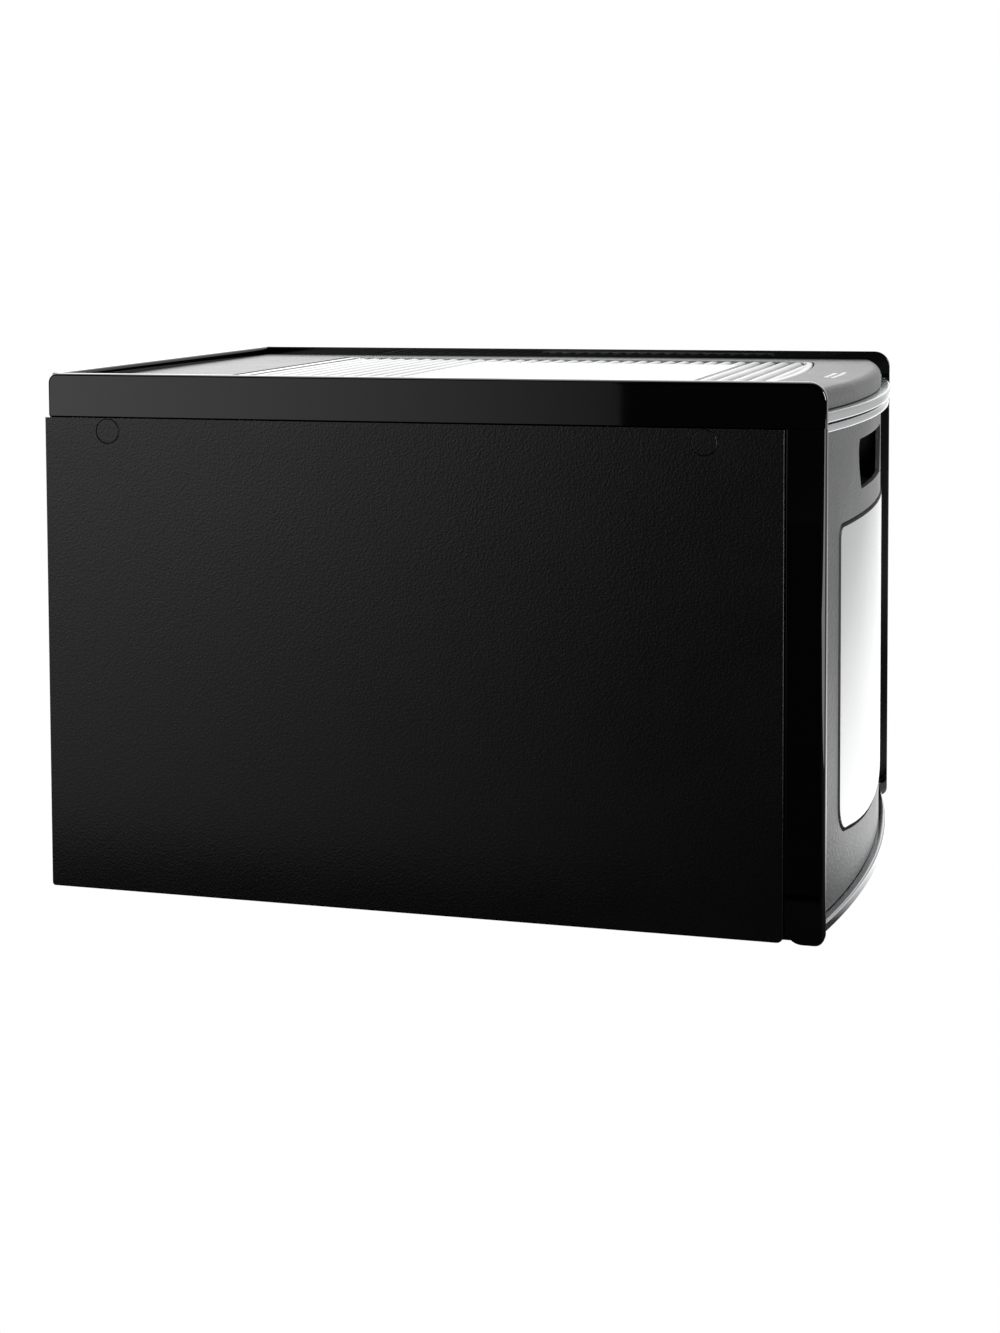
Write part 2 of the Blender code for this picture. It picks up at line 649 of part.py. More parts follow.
def make_button(name, x, finish):
    """A key whose face follows the nose's bow and stands a little proud of it."""
    low, high = button_box(x, 0.0)
    y_front = NOSE_FRONT - BUTTON_PROUD
    strip = bow_points(y_front, low[0], high[0], 4) + [(high[0], high[1]), (low[0], high[1])]
    button = slab(name, strip, "Z", low[2], high[2], finish)
    on_axis(f"{name}_axis", (x, bow_y(NOSE_FRONT, x), (low[2] + high[2]) / 2), [button])


def make_band(name, y_front, z_low, height, chrome):
    """A bowed chrome bar. Its two ends slant back so that they tuck in behind the pillars."""
    half = BAND_HALF
    inner = half - BAND_TAPER
    outline = [(-half, bow_y(y_front, half) + BAND_END_DROP)]
    outline += bow_points(y_front, -inner, inner, 18)
    outline += [(half, bow_y(y_front, half) + BAND_END_DROP)]
    outline += bow_points(y_front + BAND_DEPTH, -half, half, 12)[::-1]
    band = slab(name, outline, "Z", z_low, z_low + height, chrome)
    round_edges(band, lambda p: p.y < bow_y(y_front, p.x) + 0.0002 and abs(p.x) < half, BAND_ROUND, 2)
    return band


# ---- drawer ----

def handle_outline(grow):
    """A slot with curved sides: each side is a quadratic curve pulled out to the bulge point."""
    def side(t):
        a, b, c = (1 - t) ** 2, 2 * t * (1 - t), t ** 2
        x = a * HANDLE_BOTTOM_HALF + b * HANDLE_BULGE_HALF + c * HANDLE_TOP_HALF
        z = a * HANDLE_BOTTOM + b * (HANDLE_BOTTOM + HANDLE_BULGE_RISE) + c * HANDLE_TOP
        middle = (HANDLE_BOTTOM + HANDLE_TOP) / 2
        return x + grow, z + grow * (z - middle) / (HANDLE_HEIGHT / 2)

    right = [side(i / 8) for i in range(9)]
    return right + [(-x, z) for x, z in right[::-1]]


def window_outline(shrink):
    return bowed_panel(WINDOW_BOTTOM + shrink, WINDOW_TOP - shrink, WINDOW_HALF - shrink,
                       WINDOW_BOTTOM_BOW, WINDOW_BOTTOM_CORNER - shrink, WINDOW_TOP_CORNER - shrink, 10)


def make_drawer_front(charcoal, silver, black):
    """The bowed front with its handle slot and window, the inlay in the window and the sheet behind it."""
    front = slab("drawer_front", bow_strip(FRONT_Y, FRONT_Y + FRONT_THICK, -FRONT_HALF, FRONT_HALF, 24),
                 "Z", FRONT_BOTTOM, FRONT_TOP, charcoal)
    reach = (FRONT - 0.02, FRONT + 0.05)
    boolean(front, slab("handle_slot", handle_outline(0), "Y", *reach))
    boolean(front, slab("window", window_outline(0), "Y", *reach))
    inlay_y = FRONT_Y - INLAY_PROUD
    inlay = slab("inlay_panel", bow_strip(inlay_y, inlay_y + INLAY_THICK, -WINDOW_HALF, WINDOW_HALF),
                 "Z", WINDOW_BOTTOM - 0.01, WINDOW_TOP + 0.01, silver)
    boolean(inlay, slab("inlay_shape", window_outline(INLAY_GAP), "Y", *reach), "INTERSECT")
    back_y = CUP_FRONT
    half = WINDOW_HALF + BACKING_MARGIN
    backing = slab("inlay_backing", bow_strip(back_y, back_y + BACKING_THICK, -half, half), "Z",
                   WINDOW_BOTTOM - BACKING_MARGIN, HANDLE_BOTTOM - CUP_MARGIN - CUP_WALL - 0.001, black)
    return [front, inlay, backing]


def make_handle_cup(black):
    """The pocket behind the handle slot, closed at the back, which the fingers pull on."""
    half = HANDLE_BULGE_HALF - 0.004 + CUP_WALL
    low, high = HANDLE_BOTTOM - CUP_MARGIN, HANDLE_TOP + CUP_MARGIN
    back = CUP_FRONT + CUP_DEPTH
    cup = slab("handle_cup", bow_to_flat(CUP_FRONT, back, half, 12), "Z",
               low - CUP_WALL, high + CUP_WALL, black)
    hollow = box("cup_hollow", (-half + CUP_WALL, FRONT - 0.01, low),
                 (half - CUP_WALL, back - CUP_WALL, high))
    boolean(cup, hollow)
    return cup


def make_strips(chrome):
    """Thin bright strips along the drawer front's two upright edges."""
    made = []
    for side, sign in (("left", -1), ("right", 1)):
        low, high = sorted((sign * (FRONT_HALF + GAP), sign * (FRONT_HALF + GAP + STRIP_WIDTH)))
        y = bow_y(FRONT_Y, FRONT_HALF) - 0.001
        made.append(box(f"trim_strip_{side}", (low, y, FRONT_BOTTOM), (high, y + STRIP_DEPTH, FRONT_TOP),
                        chrome, 0.0004))
    return made


def make_bin(black, steel):
    """The bin, open at the top and at the rear where the ram comes in, and the plates that tie it to
    the drawer front."""
    shell = box("drawer_bin", (-BIN_HALF, BIN_FRONT, BIN_BOTTOM), (BIN_HALF, BIN_REAR, BIN_TOP), black)
    inner = BIN_HALF - BIN_WALL
    hollow = box("bin_hollow", (-inner, BIN_FRONT + BIN_WALL, BIN_BOTTOM + BIN_WALL),
                 (inner, BIN_REAR + 0.01, BIN_TOP + 0.01))
    boolean(shell, hollow)
    made = [shell]
    for side, sign in (("left", -1), ("right", 1)):
        x = sign * BRACKET_X
        y = bow_y(FRONT_Y + FRONT_THICK + BACKING_THICK + 2 * GAP, BRACKET_X + BRACKET_THICK)
        top = WINDOW_TOP - BRACKET_BELOW_WINDOW_TOP
        made.append(box(f"drawer_bracket_{side}", (x - BRACKET_THICK / 2, y + GAP, WINDOW_BOTTOM),
                        (x + BRACKET_THICK / 2, BIN_FRONT - GAP, top), steel))
        half = RUNNER_BAR_HEIGHT / 2
        a, b = sorted((sign * (BIN_HALF + GAP), sign * (BIN_HALF + GAP + RUNNER_BAR_THICK)))
        made.append(box(f"runner_inner_{side}", (a, BIN_FRONT + RUNNER_END_GAP, RUNNER_Z - half),
                        (b, BIN_REAR, RUNNER_Z + half), steel))
    return made


def make_outer_runners(steel):
    """Channels on the side panels, open towards the bin, that hold the drawer's bars."""
    half = RUNNER_CHANNEL_HEIGHT / 2
    for side, sign in (("left", -1), ("right", 1)):
        web = PANEL_INNER - GAP
        lip = web - RUNNER_CHANNEL_DEPTH
        outline = [(lip, -half), (web, -half), (web, half), (lip, half), (lip, half - RUNNER_WALL),
                   (web - RUNNER_WALL, half - RUNNER_WALL), (web - RUNNER_WALL, RUNNER_WALL - half),
                   (lip, RUNNER_WALL - half)]
        outline = [(sign * x, RUNNER_Z + z) for x, z in outline]
        slab(f"runner_outer_{side}", outline, "Y", BIN_FRONT, BIN_REAR + RUNNER_END_GAP, steel)


# ---- lid ----

def make_lid(silver, plate_silver, steel):
    """The lid: cross ribs inside a rounded lip, with a blank plate let into the middle."""
    lid = slab("ribbed_lid", lid_outline(0, 0, LID_REAR_CORNER), "Z", LID_BOTTOM, DECK_TOP, silver)
    boolean(lid, make_rear_round())
    boolean(lid, make_rib_cutter())
    plate_rear = LID_REAR - LID_REAR_RIM - PLATE_AFTER_RIB * RIB_PITCH
    plate_low = (-PLATE_HALF, plate_rear - PLATE_RIBS * RIB_PITCH, DECK_TOP - RIB_BELOW_TOP - PLATE_THICK)
    plate_high = (PLATE_HALF, plate_rear, DECK_TOP - RIB_BELOW_TOP)
    grow = Vector((GAP, GAP, GAP))
    seat = box("plate_seat", Vector(plate_low) - grow, Vector(plate_high) + grow)
    boolean(lid, seat)
    plate = box("lid_plate", plate_low, plate_high, plate_silver, 0.0004)
    for side, sign in (("left", -1), ("right", 1)):
        start = Vector((sign * (LID_HALF - PIN_IN_LID), HINGE_Y, HINGE_Z))
        end = start + Vector((sign * PIN_LENGTH, 0, 0))
        hole = rod(f"lid_bore_{side}", PIN_RADIUS + GAP, start - Vector((sign * GAP, 0, 0)), end, steps=16)
        boolean(lid, hole)
        profile = [(0, PIN_LENGTH), (PIN_HEAD_RADIUS, PIN_LENGTH), (PIN_HEAD_RADIUS, PIN_LENGTH - PIN_HEAD),
                   (PIN_RADIUS, PIN_LENGTH - PIN_HEAD), (PIN_RADIUS, 0), (0, 0)]
        turned(f"hinge_pin_{side}", profile, start, (sign, 0, 0), steel, 16)
    on_axis("lid_hinge_axis", (0, HINGE_Y, HINGE_Z), [lid, plate])


def make_rear_round():
    """What the lid's rear edge loses on top, so that it can swing inside its opening."""
    y, z, past = LID_REAR - LID_REAR_ROUND, DECK_TOP - LID_REAR_ROUND, 0.002
    turns = [math.radians(15 * k) for k in range(7)]
    line = [(y + LID_REAR_ROUND * math.cos(a), z + LID_REAR_ROUND * math.sin(a)) for a in turns]
    line += [(y, DECK_TOP + past), (LID_REAR + past, DECK_TOP + past), (LID_REAR + past, z)]
    return slab("lid_rear_round", line, "X", -WIDTH / 2, WIDTH / 2)


def make_rib_cutter():
    """What lies above and between the ribs: its underside is a row of half-round hollows."""
    front = LID_FRONT + LID_LIP
    rear = LID_REAR - LID_REAR_RIM
    count = int((rear - front) / RIB_PITCH)
    start = rear - count * RIB_PITCH
    top = DECK_TOP - RIB_BELOW_TOP
    half = (RIB_PITCH - RIB_GROOVE) / 2
    line = [(front - RIB_PITCH, DECK_TOP + 0.004), (front - RIB_PITCH, top - RIB_HEIGHT)]
    for i in range(count):
        middle = start + (i + 0.5) * RIB_PITCH
        turns = [math.radians(180 - 180 * k / 6) for k in range(7)]
        line += [(middle + half * math.cos(a), top - RIB_HEIGHT + RIB_HEIGHT * math.sin(a)) for a in turns]
    line += [(rear, top - RIB_HEIGHT), (rear, DECK_TOP + 0.004)]
    cutter = slab("rib_hollows", line, "X", -LID_HALF, LID_HALF)
    inner = bowed_panel(front, rear + 0.001, LID_HALF - LID_LIP, BOW_RADIUS, LID_CORNER - LID_LIP,
                        LID_REAR_CORNER, 16)
    boolean(cutter, slab("rib_field", inner, "Z", LID_BOTTOM, DECK_TOP + 0.002), "INTERSECT")
    return cutter


# ---- ram and drive ----

def make_ram(steel, bright):
    half = BIN_HALF - BIN_WALL - RAM_SIDE_GAP
    plate = box("ram_plate", (-half, RAM_REAR - RAM_THICK, RAM_BOTTOM),
                (half, RAM_REAR, RAM_TOP), steel, 0.002)
    pieces = [plate]
    for side, sign in (("left", -1), ("right", 1)):
        profile = [(0, SCREW_LENGTH), (SCREW_RADIUS, SCREW_LENGTH), (SCREW_RADIUS, SCREW_FLANGE),
                   (SCREW_FLANGE_RADIUS, SCREW_FLANGE), (SCREW_FLANGE_RADIUS, 0), (0, 0)]
        pieces.append(turned(f"lead_screw_{side}", profile, (sign * SCREW_X, RAM_REAR + GAP, SCREW_Z),
                             (0, 1, 0), bright, 24))
    on_axis("ram_slide_axis", (0, RAM_REAR, SCREW_Z), pieces)


def pulley_profile(seat, bore, hub):
    """A flanged belt pulley, from its rear hub forward. bore is 0 for a solid one."""
    rim = seat + PULLEY_FLANGE_RISE
    length = PULLEY_WIDTH + HUB_LENGTH
    outside = [(hub, length), (hub, PULLEY_WIDTH), (rim, PULLEY_WIDTH), (rim, PULLEY_WIDTH - PULLEY_FLANGE),
               (seat, PULLEY_WIDTH - PULLEY_FLANGE), (seat, PULLEY_FLANGE), (rim, PULLEY_FLANGE), (rim, 0)]
    return [(bore, length)] + outside + [(bore, 0)]


def make_drive(steel, bright, black, rubber):
    """Two nut pulleys that turn on the screws, and the motor that drives them through one belt."""
    seats = []
    for side, sign in (("left", -1), ("right", 1)):
        profile = pulley_profile(PULLEY_RADIUS, SCREW_RADIUS + TURN_GAP, HUB_RADIUS)
        centre = (sign * SCREW_X, PULLEY_Y, SCREW_Z)
        pulley = turned(f"nut_pulley_{side}", profile, centre, (0, 1, 0), steel, 32, closed=True)
        on_axis(f"nut_pulley_{side}_axis", centre, [pulley])
        seats.append((sign * SCREW_X, SCREW_Z, PULLEY_RADIUS))
    profile = pulley_profile(MOTOR_PULLEY_RADIUS, 0.0, SHAFT_RADIUS)
    centre = (0, PULLEY_Y, MOTOR_Z)
    pulley = turned("motor_pulley", profile, centre, (0, 1, 0), steel, 32)
    on_axis("motor_pulley_axis", centre, [pulley])
    circles = [(0, MOTOR_Z, MOTOR_PULLEY_RADIUS), seats[1], seats[0]]
    middle = PULLEY_Y + PULLEY_WIDTH / 2
    ends = (middle - BELT_WIDTH / 2, middle + BELT_WIDTH / 2)
    belt = slab("drive_belt", belt_line(circles, GAP + BELT_THICK), "Y", *ends, rubber)
    boolean(belt, slab("belt_inside", belt_line(circles, GAP), "Y", ends[0] - 0.002, ends[1] + 0.002))
    make_motor(steel, black)
    make_bridge(steel)


def make_motor(steel, black):
    wide = MOTOR_RADIUS
    profile = [(0, MOTOR_LENGTH + 0.006), (wide * 0.6, MOTOR_LENGTH + 0.006), (wide * 0.7, MOTOR_LENGTH),
               (wide, MOTOR_LENGTH - 0.004), (wide, 0.002), (wide - 0.002, 0), (0, 0)]
    turned("motor", profile, (0, MOTOR_Y, MOTOR_Z), (0, 1, 0), black, 32)
    foot = TRAY_TOP + GAP
    y, thick, top = MOTOR_BRACKET_Y, MOTOR_BRACKET_THICK, MOTOR_Z + MOTOR_BRACKET_RISE
    outline = [(y, foot), (y + MOTOR_BRACKET_FOOT, foot), (y + MOTOR_BRACKET_FOOT, foot + thick),
               (y + thick, foot + thick), (y + thick, top), (y, top)]
    bracket = slab("motor_bracket", outline, "X", -MOTOR_BRACKET_HALF, MOTOR_BRACKET_HALF, steel)
    hole = rod("shaft_hole", SHAFT_RADIUS * 2, (0, y - 0.005, MOTOR_Z), (0, y + 0.01, MOTOR_Z))
    boolean(bracket, hole)


def make_bridge(steel):
    """The bent plate behind the pulleys whose holes carry the nut hubs, and the bulkhead before them."""
    start = BULKHEAD_Y + BULKHEAD_THICK + GAP
    end = BRIDGE_Y + BRIDGE_THICK
    wide, leg = BRIDGE_HALF, BRIDGE_HALF - BRIDGE_LEG
    outline = [(-wide, start), (-leg, start), (-leg, BRIDGE_Y), (leg, BRIDGE_Y), (leg, start), (wide, start),
               (wide, end), (-wide, end)]
    bridge = slab("bearing_bridge", outline, "Z", SCREW_Z - BRIDGE_HALF_HEIGHT,
                  SCREW_Z + BRIDGE_HALF_HEIGHT, steel)
    half = RAIL_INNER - GAP
    bulkhead = box("bulkhead", (-half, BULKHEAD_Y, TRAY_TOP + GAP),
                   (half, BULKHEAD_Y + BULKHEAD_THICK, NOSE_BOTTOM - 0.0005), steel)
    for side, sign in (("left", -1), ("right", 1)):
        x = sign * SCREW_X
        boolean(bridge, rod(f"hub_hole_{side}", HUB_RADIUS + TURN_GAP, (x, BRIDGE_Y - 0.005, SCREW_Z),
                            (x, end + 0.005, SCREW_Z)))
        boolean(bulkhead, rod(f"screw_hole_{side}", SCREW_RADIUS + 0.003, (x, BULKHEAD_Y - 0.005, SCREW_Z),
                              (x, BULKHEAD_Y + 0.008, SCREW_Z)))
    box("mechanism_cover", (-half, BULKHEAD_Y + BULKHEAD_THICK + GAP, COVER_TOP - COVER_THICK),
        (half, REAR_PANEL_Y - REAR_PANEL_THICK - GAP, COVER_TOP), steel)


# ---- electrical pieces ----

def make_controls(black, grey, red, green):
    make_button("start_button", START_X, green)
    make_button("stop_button", STOP_X, red)
    middle = (START_X + STOP_X) / 2
    front = bow_y(NOSE_FRONT, STOP_X) + BUTTON_DEPTH + BOARD_BEHIND_BUTTON
    rear = LID_FRONT - LID_GAP - COLLAR_THICK - BOARD_TO_COLLAR
    box("control_board", (middle - BOARD_LENGTH / 2, front, NOSE_BOTTOM + 0.001),
        (middle + BOARD_LENGTH / 2 - 0.014, rear, NOSE_BOTTOM + 0.001 + BOARD_THICK), green)
    inlet_low = (INLET_X - INLET_HALF, REAR_PANEL_Y - INLET_DEPTH, INLET_Z - INLET_HALF_HEIGHT)
    inlet_high = (INLET_X + INLET_HALF, REAR_PANEL_Y + GAP + INLET_FLANGE_THICK, INLET_Z + INLET_HALF_HEIGHT)
    inlet = box("power_inlet", inlet_low, inlet_high, black)
    flange = INLET_FLANGE
    rim = box("inlet_rim", (inlet_low[0] - flange, REAR_PANEL_Y + GAP, inlet_low[2] - flange),
              (inlet_high[0] + flange, inlet_high[1] + 0.0001, inlet_high[2] + flange))
    wall = INLET_WALL
    hollow = box("inlet_hollow", (inlet_low[0] + wall, inlet_low[1] + wall, inlet_low[2] + wall),
                 (inlet_high[0] - wall, inlet_high[1] + 0.01, inlet_high[2] - wall))
    boolean(inlet, rim, "UNION")
    boolean(inlet, hollow)
    make_rocker(black, red)


def make_rocker(black, red):
    """The power rocker, resting at its off end, in a bezel through the rear panel."""
    half, tall = ROCKER_HALF + GAP, ROCKER_HALF_HEIGHT + 0.0012
    outer = (half + BEZEL_WALL - GAP, tall + BEZEL_WALL - 0.0012)
    bezel = box("rocker_bezel", (ROCKER_X - outer[0], REAR_PANEL_Y - BEZEL_DEPTH, INLET_Z - outer[1]),
                (ROCKER_X + outer[0], REAR_PANEL_Y + 0.0012, INLET_Z + outer[1]), black)
    hollow = box("rocker_hollow", (ROCKER_X - half, REAR_PANEL_Y - 0.02, INLET_Z - tall),
                 (ROCKER_X + half, REAR_PANEL_Y + 0.02, INLET_Z + tall))
    boolean(bezel, hollow)
    tall = ROCKER_HALF_HEIGHT
    y = REAR_PANEL_Y - 0.0030
    bend = tall * math.tan(math.radians(ROCKER_TILT))
    outline = [(-ROCKER_DEPTH / 2, -tall + 0.003), (ROCKER_DEPTH / 2 - bend, -tall), (0.0026, 0.0),
               (ROCKER_DEPTH / 2 - bend, tall), (-ROCKER_DEPTH / 2, tall - 0.003)]
    rocker = slab("power_rocker", outline, "X", -ROCKER_HALF, ROCKER_HALF, red)
    pivot = (ROCKER_X, y, INLET_Z)
    rocker.location = pivot
    rocker.rotation_euler = (math.radians(-ROCKER_TILT), 0, 0)
    return rocker


def build():
    global parts, cutters
    clear_scene()
    parts = new_collection("trash_compactor")
    cutters = new_collection("cutters")
    gloss = finish_material("gloss_black", (0.006, 0.006, 0.007), 0.08)
    grain = finish_material("grained_black", (0.012, 0.012, 0.012), 0.45)
    charcoal = finish_material("charcoal_matt", (0.060, 0.060, 0.062), 0.6)
    chrome = finish_material("chrome", (0.85, 0.86, 0.87), 0.07, 1.0)
    silver = finish_material("silver_lid", (0.78, 0.79, 0.80), 0.3)
    inlay = finish_material("silver_inlay", (0.70, 0.71, 0.72), 0.2, 0.3)
    steel = finish_material("zinc_steel", (0.55, 0.56, 0.57), 0.4, 1.0)
    bright = finish_material("bright_steel", (0.72, 0.72, 0.73), 0.2, 1.0)
    black = finish_material("inner_black", (0.02, 0.02, 0.02), 0.6)
    rubber = finish_material("rubber", (0.015, 0.015, 0.015), 0.85)
    red = finish_material("red_key", (0.45, 0.03, 0.02), 0.4)
    green = finish_material("green_key", (0.03, 0.22, 0.07), 0.4)
    make_base(black, rubber)
    for side, sign in (("left", -1), ("right", 1)):
        make_side(side, sign, grain)
        make_pillar(side, sign, gloss)
    make_rails(gloss)
    make_rear_panel(grain)
    make_deck(charcoal)
    make_band("upper_band", FRONT, UPPER_BAND_TOP - UPPER_BAND_HEIGHT, UPPER_BAND_HEIGHT, chrome)
    drawer = make_drawer_front(charcoal, inlay, black)
    drawer.append(make_band("drawer_band_top", FRONT + DRAWER_BAND_SETBACK,
                            DRAWER_BAND_TOP - DRAWER_BAND_HEIGHT, DRAWER_BAND_HEIGHT, chrome))
    drawer.append(make_band("drawer_band_bottom", FRONT + BOTTOM_BAND_SETBACK, BOTTOM_BAND_Z,
                            BOTTOM_BAND_HEIGHT, chrome))
    drawer.append(make_handle_cup(black))
    drawer += make_strips(chrome)
    drawer += make_bin(black, steel)
    on_axis("drawer_slide_axis", (0, FRONT_Y, RUNNER_Z), drawer)
    make_outer_runners(steel)
    make_lid(silver, silver, steel)
    make_ram(steel, bright)
    make_drive(steel, bright, black, rubber)
    make_controls(black, steel, red, green)


build()
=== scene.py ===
import math

import bmesh
import bpy
import numpy as np
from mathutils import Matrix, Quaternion, Vector


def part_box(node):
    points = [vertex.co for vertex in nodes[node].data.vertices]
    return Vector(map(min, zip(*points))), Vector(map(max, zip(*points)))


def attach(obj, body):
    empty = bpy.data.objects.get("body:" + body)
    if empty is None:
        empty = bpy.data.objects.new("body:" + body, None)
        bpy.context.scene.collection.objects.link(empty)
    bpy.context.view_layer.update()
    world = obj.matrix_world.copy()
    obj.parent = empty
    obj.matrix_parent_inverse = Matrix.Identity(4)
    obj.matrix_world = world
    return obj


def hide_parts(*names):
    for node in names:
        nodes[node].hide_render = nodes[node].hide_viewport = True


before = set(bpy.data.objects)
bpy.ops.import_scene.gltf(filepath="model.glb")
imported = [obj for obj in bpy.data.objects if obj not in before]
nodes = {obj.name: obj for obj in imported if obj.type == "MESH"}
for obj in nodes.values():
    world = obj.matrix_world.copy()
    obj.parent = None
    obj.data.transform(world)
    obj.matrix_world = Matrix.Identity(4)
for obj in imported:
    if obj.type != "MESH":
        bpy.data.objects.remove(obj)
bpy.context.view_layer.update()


# ---- side panels and their screw caps ----
# Each side is one sheet of 3 mm moulded panel in black plastic with a fine leather-like grain. Two
# flush round caps near its top edge cover the screws that hold it to the rail.

def group_with(name, inputs, outputs):
    """A shader node group with float or colour inputs at their usual values, and its two end nodes."""
    group = bpy.data.node_groups.new(name, "ShaderNodeTree")
    for label, value in inputs.items():
        kind = "NodeSocketFloat" if isinstance(value, (int, float)) else "NodeSocketColor"
        socket = group.interface.new_socket(name=label, in_out="INPUT", socket_type=kind)
        socket.default_value = value
    for label, kind in outputs.items():
        group.interface.new_socket(name=label, in_out="OUTPUT", socket_type=kind)
    return group, group.nodes.new("NodeGroupInput"), group.nodes.new("NodeGroupOutput")


def maths(tree, operation, *values):
    """A Math node. Each value is a number or another node's output."""
    node = tree.nodes.new("ShaderNodeMath")
    node.operation = operation
    for socket, value in zip(node.inputs, values):
        if isinstance(value, (int, float)):
            socket.default_value = value
        else:
            tree.links.new(value, socket)
    return node.outputs[0]


def build_grain():
    """Moulded grain: cells and fine noise on Object coordinates give a height, a normal and a value."""
    group, start, end = group_with("moulded_grain", {"Scale": 900.0, "Depth": 0.00004, "Strength": 0.5},
                                   {"Normal": "NodeSocketVector", "Value": "NodeSocketFloat"})
    place = group.nodes.new("ShaderNodeTexCoord").outputs["Object"]
    cells = group.nodes.new("ShaderNodeTexVoronoi")
    noise = group.nodes.new("ShaderNodeTexNoise")
    noise.inputs["Detail"].default_value = 3.0
    for texture in (cells, noise):
        group.links.new(place, texture.inputs["Vector"])
        group.links.new(start.outputs["Scale"], texture.inputs["Scale"])
    height = maths(group, "MULTIPLY_ADD", cells.outputs["Distance"], 0.6, noise.outputs["Fac"])
    bump = group.nodes.new("ShaderNodeBump")
    group.links.new(height, bump.inputs["Height"])
    group.links.new(start.outputs["Strength"], bump.inputs["Strength"])
    group.links.new(start.outputs["Depth"], bump.inputs["Distance"])
    group.links.new(bump.outputs["Normal"], end.inputs["Normal"])
    group.links.new(height, end.inputs["Value"])
    return group


def build_smudge():
    """Handling marks: broad noise stretched by its own warp, from 0 (clean) to 1 (marked)."""
    group, start, end = group_with("smudge", {"Scale": 14.0, "Cover": 0.5}, {"Mask": "NodeSocketFloat"})
    place = group.nodes.new("ShaderNodeTexCoord").outputs["Object"]
    noise = group.nodes.new("ShaderNodeTexNoise")
    noise.inputs["Detail"].default_value = 5.0
    noise.inputs["Distortion"].default_value = 0.8
    group.links.new(place, noise.inputs["Vector"])
    group.links.new(start.outputs["Scale"], noise.inputs["Scale"])
    above = maths(group, "SUBTRACT", noise.outputs["Fac"], maths(group, "SUBTRACT", 0.75,
                                                                 start.outputs["Cover"]))
    group.links.new(maths(group, "MULTIPLY", maths(group, "MAXIMUM", above, 0.0), 2.0), end.inputs["Mask"])
    return group


def build_edge_wear():
    """Wear where a surface turns: one less the dot of the true and the rounded normal, broken by noise."""
    group, start, end = group_with("edge_wear", {"Radius": 0.0012, "Amount": 0.5, "Scale": 240.0},
                                   {"Mask": "NodeSocketFloat"})
    rounded = group.nodes.new("ShaderNodeBevel")
    rounded.samples = 4
    group.links.new(start.outputs["Radius"], rounded.inputs["Radius"])
    true = group.nodes.new("ShaderNodeNewGeometry")
    dot = group.nodes.new("ShaderNodeVectorMath")
    dot.operation = "DOT_PRODUCT"
    group.links.new(rounded.outputs["Normal"], dot.inputs[0])
    group.links.new(true.outputs["Normal"], dot.inputs[1])
    noise = group.nodes.new("ShaderNodeTexNoise")
    group.links.new(group.nodes.new("ShaderNodeTexCoord").outputs["Object"], noise.inputs["Vector"])
    group.links.new(start.outputs["Scale"], noise.inputs["Scale"])
    turn = maths(group, "MULTIPLY", maths(group, "SUBTRACT", 1.0, dot.outputs["Value"]), 5.0)
    broken = maths(group, "MULTIPLY", turn, maths(group, "MULTIPLY", noise.outputs["Fac"], 1.6))
    mask = maths(group, "MINIMUM", maths(group, "MULTIPLY", broken, start.outputs["Amount"]), 1.0)
    group.links.new(mask, end.inputs["Mask"])
    return group


grain_group, smudge_group, wear_group = build_grain(), build_smudge(), build_edge_wear()


def use_group(tree, group, **values):
    """A group placed in a material, with its inputs set by name."""
    node = tree.nodes.new("ShaderNodeGroup")
    node.node_tree = group
    for label, value in values.items():
        node.inputs[label].default_value = value
    return node


def finish(name, colour, roughness, metallic=0.0, coat=0.0, grain=(900.0, 0.00002, 0.3), smudge=0.06,
           worn=None, wear=0.4, mottle=0.08, ior=1.5):
    """A material from the shared groups: colour with a little mottle and worn edges, roughness raised by
    smudges and lowered where it is worn, and grain in the normal. grain is scale, depth and strength."""
    made = bpy.data.materials.new(name)
    made.use_nodes = True
    tree = made.node_tree
    shader = tree.nodes["Principled BSDF"]
    shader.inputs["Metallic"].default_value = metallic
    shader.inputs["Coat Weight"].default_value = coat
    shader.inputs["IOR"].default_value = ior
    texture = use_group(tree, grain_group, Scale=grain[0], Depth=grain[1], Strength=grain[2])
    tree.links.new(texture.outputs["Normal"], shader.inputs["Normal"])
    marks = use_group(tree, smudge_group, Scale=16.0, Cover=0.5)
    level = maths(tree, "MULTIPLY_ADD", marks.outputs["Mask"], smudge, roughness)
    tint = tree.nodes.new("ShaderNodeMix")
    tint.data_type = "RGBA"
    tint.inputs[6].default_value = (*colour, 1)
    tint.inputs[7].default_value = (*[c * 0.82 for c in colour], 1)
    tree.links.new(maths(tree, "MULTIPLY", marks.outputs["Mask"], mottle * 8), tint.inputs[0])
    shown = tint.outputs[2]
    if worn:
        edges = use_group(tree, wear_group, Amount=wear)
        over = tree.nodes.new("ShaderNodeMix")
        over.data_type = "RGBA"
        over.inputs[7].default_value = (*worn, 1)
        tree.links.new(edges.outputs["Mask"], over.inputs[0])
        tree.links.new(shown, over.inputs[6])
        shown = over.outputs[2]
        level = maths(tree, "MULTIPLY_ADD", edges.outputs["Mask"], -0.3 * roughness, level)
    tree.links.new(shown, shader.inputs["Base Color"])
    tree.links.new(level, shader.inputs["Roughness"])
    return made


